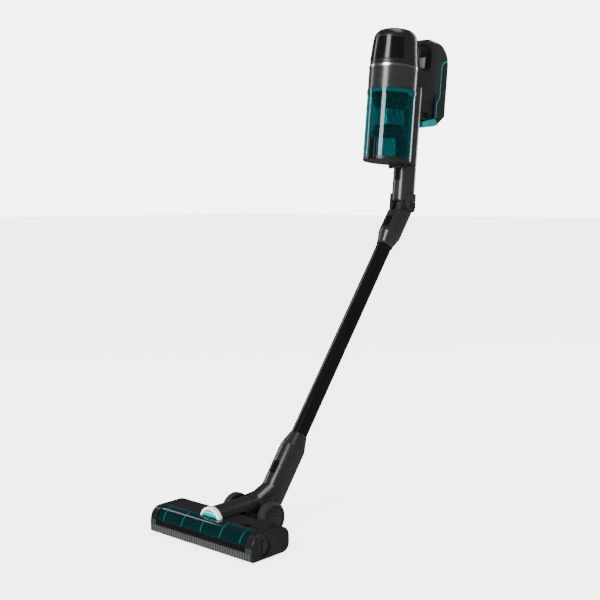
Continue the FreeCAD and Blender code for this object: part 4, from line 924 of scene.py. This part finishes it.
class VACUUM_OT_rings(Operator):
    """Add the tube seal, hub rings, joint caps and socket ring"""

    bl_idname = "vacuum.rings"
    bl_label = "Rings and caps"

    def execute(self, context):
        wheel = at(HEAD, 0, 138.0, 31.5)
        socket = facing(at(UNIT, 0, 108.0, 225.0), UNIT.to_3x3() @ Vector((0.0, 1.0, 0.0)))
        rings = [
            ("tube_seal", "knee", "rubber", "rubber", FLEX,
             [(16.1, -104.6), (17.3, -104.6), (17.9, -103.8), (17.9, -101.2), (16.1, -101.2)]),
            ("socket_ring", "battery", "steel", "steel", socket,
             [(2.8, -0.5), (4.6, -0.5), (4.6, 0.25), (4.1, 0.5), (3.1, 0.5), (2.8, 0.2)]),
        ]
        for side in (-1, 1):
            tag = "left" if side < 0 else "right"
            out = Vector((side, 0.0, 0.0))
            hub = facing(wheel + out * 55.2 * MM, out)
            rings.append((f"hub_ring_{tag}", f"wheel_{tag}", "steel", "steel", hub,
                          [(2.4, -1.5), (5.4, -1.5), (5.4, 0.9), (4.8, 1.3), (3.2, 1.3), (2.4, 0.7)]))
            rings.append((f"hub_cap_{tag}", f"wheel_{tag}", "dark", "gloss_black", hub,
                          [(0.001, -1.0), (2.5, -1.0), (2.5, 0.5), (1.6, 0.9), (0.001, 1.0)]))
            rings.append((f"rim_groove_{tag}", f"wheel_{tag}", "gloss", "dark_cover",
                          facing(wheel + out * 53.4 * MM, out),
                          [(23.4, -0.8), (24.9, -0.8), (24.9, 0.4), (24.2, 0.8), (23.4, 0.4)]))
            rings.append((f"knee_cap_{tag}", "arm", "shell", "black_plastic",
                          facing(KNEE + out * 26.7 * MM, out),
                          [(0.001, -0.4), (10.2, -0.4), (10.2, 0.5), (9.4, 1.1), (7.4, 1.1), (6.9, 0.7),
                           (0.001, 0.7)]))
            rings.append((f"elbow_cap_{tag}", "elbow", "steel", "steel",
                          facing(ELBOW + out * 28.0 * MM, out),
                          [(0.001, -1.2), (2.8, -1.2), (2.8, 0.3), (2.2, 0.8), (0.001, 0.9)]))
        for name, body, finish, slot, space, outline in rings:
            shape = bmesh.new()
            lathe(shape, outline, space)
            piece(name, closed(name, shape), finish, body)
        return {"FINISHED"}


class VACUUM_OT_sole(Operator):
    """Add the felt and wiper strips under the floor head"""

    bl_idname = "vacuum.sole"
    bl_label = "Sole strips"

    def execute(self, context):
        felt = bmesh.new()
        brick(felt, (-92.0, 61.5, 0.6), (92.0, 65.5, 2.0), HEAD)
        piece("felt_strip", closed("felt_strip", felt, 0.0003), "felt", "floor_head")
        wiper = bmesh.new()
        brick(wiper, (-108.0, 8.9, 0.8), (108.0, 10.6, 2.2), HEAD)
        piece("wiper_strip", closed("wiper_strip", wiper, 0.0003), "rubber", "floor_head")
        return {"FINISHED"}


class VACUUM_OT_vents(Operator):
    """Add the louvres on the rear of the filter cap"""

    bl_idname = "vacuum.vents"
    bl_label = "Cap louvres"

    def execute(self, context):
        places = []
        for side in (-1, 1):
            for k in range(9):
                angle = math.radians(side * (118 + 4.6 * k))
                out = Vector((math.sin(angle), -math.cos(angle), 0.0))
                spot = Vector((0.0, CUP_Y, 310.0)) + out * 48.2
                place = UNIT @ facing(spot * MM, out)
                places.append(place)
        shape = bmesh.new()
        brick(shape, (-0.7, -13.0, -1.0), (0.7, 13.0, 0.9))
        unit = template("louvre", shape, 0.0004)
        scatter("cap_louvres", "filter_cap", "gloss", unit, places)
        return {"FINISHED"}


CAMERA_PLACE = (1.3055, -1.5657, 0.6136)
CAMERA_TURN, CAMERA_DIP = 41.7, 5.6
CAMERA_LENS, CAMERA_SENSOR = 61.63, 36.0
FLOOR_REACH, FLOOR_GLOW = 30.0, 3.6
# How much brighter or darker than 1 the studio is to each kind of ray.
SKY_CHANGE = {"Is Camera Ray": 5.0, "Is Glossy Ray": -0.92, "Is Transmission Ray": 1.6}


def area_light(name, place, target, size, power):
    """A soft white light that looks at a point."""
    data = bpy.data.lights.new(name, "AREA")
    data.shape = "RECTANGLE"
    data.size, data.size_y = size
    data.energy = power
    lamp = bpy.data.objects.new(name, data)
    lamp.location = place
    lamp.rotation_euler = (Vector(target) - Vector(place)).to_track_quat("-Z", "Y").to_euler()
    bpy.context.scene.collection.objects.link(lamp)


class VACUUM_OT_stage(Operator):
    """Lay the floor and set the lights and the camera"""

    bl_idname = "vacuum.stage"
    bl_label = "Stage"

    def execute(self, context):
        scene = context.scene
        world = bpy.data.worlds.new("studio")
        world.use_nodes = True
        nodes, links = world.node_tree.nodes, world.node_tree.links
        nodes["Background"].inputs["Color"].default_value = (1.0, 1.0, 1.0, 1.0)
        path = nodes.new("ShaderNodeLightPath")
        strength = None
        for kind, change in SKY_CHANGE.items():
            step = nodes.new("ShaderNodeMath")
            step.operation = "MULTIPLY_ADD"
            step.inputs[1].default_value = change
            step.inputs[2].default_value = 1.0
            links.new(path.outputs[kind], step.inputs[0])
            if strength is not None:
                links.new(strength, step.inputs[2])
            strength = step.outputs["Value"]
        links.new(strength, nodes["Background"].inputs["Strength"])
        scene.world = world
        floor = bpy.data.meshes.new("floor")
        corners = [(x * FLOOR_REACH, y * FLOOR_REACH, 0) for x, y in ((-1, -1), (1, -1), (1, 1), (-1, 1))]
        floor.from_pydata(corners, [], [(0, 1, 2, 3)])
        ground = bpy.data.objects.new("floor", floor)
        scene.collection.objects.link(ground)
        material, shader = base_material("pale_floor", Roughness=0.9, Emission_Strength=FLOOR_GLOW)
        shader.inputs["Emission Color"].default_value = (1.0, 1.0, 1.0, 1.0)
        pale = tones(material, noise(material, 3.0), (0.86, 0.86, 0.86), (0.9, 0.9, 0.9))
        material.node_tree.links.new(pale, shader.inputs["Base Color"])
        floor.materials.append(material)
        ground.visible_glossy = False
        middle = (0.0, 0.0, 0.5)
        area_light("key", (0.05, -2.6, 1.6), (0.0, 0.1, 0.6), (0.9, 2.0), 70.0)
        area_light("rim", (0.15, 2.7, 1.5), middle, (0.5, 2.0), 16.0)
        area_light("side", (-2.4, -0.3, 1.3), middle, (0.4, 2.0), 9.0)
        area_light("top", (0.2, 0.3, 2.7), middle, (1.6, 0.8), 16.0)
        data = bpy.data.cameras.new("camera")
        data.lens = CAMERA_LENS
        data.sensor_width = CAMERA_SENSOR
        camera = bpy.data.objects.new("camera", data)
        turn, dip = math.radians(CAMERA_TURN), math.radians(CAMERA_DIP)
        look = Vector((-math.sin(turn) * math.cos(dip), math.cos(turn) * math.cos(dip), -math.sin(dip)))
        camera.location = CAMERA_PLACE
        camera.rotation_euler = look.to_track_quat("-Z", "Y").to_euler()
        scene.collection.objects.link(camera)
        scene.camera = camera
        return {"FINISHED"}


STEPS = ("finishes", "screws", "bumper", "window", "brush", "hose", "filter", "drum", "lamp", "ribs",
         "rings", "sole", "vents", "stage")


class VACUUM_PT_looks(Panel):
    """The vacuum's pieces and settings in the sidebar."""

    bl_idname = "VACUUM_PT_looks"
    bl_label = "Stick Vacuum"
    bl_space_type = "VIEW_3D"
    bl_region_type = "UI"
    bl_category = "Vacuum"

    def draw(self, context):
        for group in (context.scene.vacuum_finishes, context.scene.vacuum_details):
            box = self.layout.box()
            for name in type(group).__annotations__:
                box.prop(group, name)
        for step in STEPS:
            self.layout.operator("vacuum." + step)


CLASSES = (VacuumFinishes, VacuumDetails, VACUUM_OT_finishes, VACUUM_OT_screws, VACUUM_OT_bumper,
           VACUUM_OT_window, VACUUM_OT_brush, VACUUM_OT_hose, VACUUM_OT_filter, VACUUM_OT_drum,
           VACUUM_OT_lamp, VACUUM_OT_ribs, VACUUM_OT_rings, VACUUM_OT_sole, VACUUM_OT_vents,
           VACUUM_OT_stage, VACUUM_PT_looks)


def register():
    """Register every class and the two groups of settings."""
    for item in CLASSES:
        bpy.utils.register_class(item)
    bpy.types.Scene.vacuum_finishes = PointerProperty(type=VacuumFinishes)
    bpy.types.Scene.vacuum_details = PointerProperty(type=VacuumDetails)


def unregister():
    """Take everything off again."""
    del bpy.types.Scene.vacuum_details
    del bpy.types.Scene.vacuum_finishes
    for item in reversed(CLASSES):
        bpy.utils.unregister_class(item)


def main():
    """Build every piece in order."""
    register()
    for step in STEPS:
        getattr(bpy.ops.vacuum, step)()


if __name__ == "__main__":
    main()
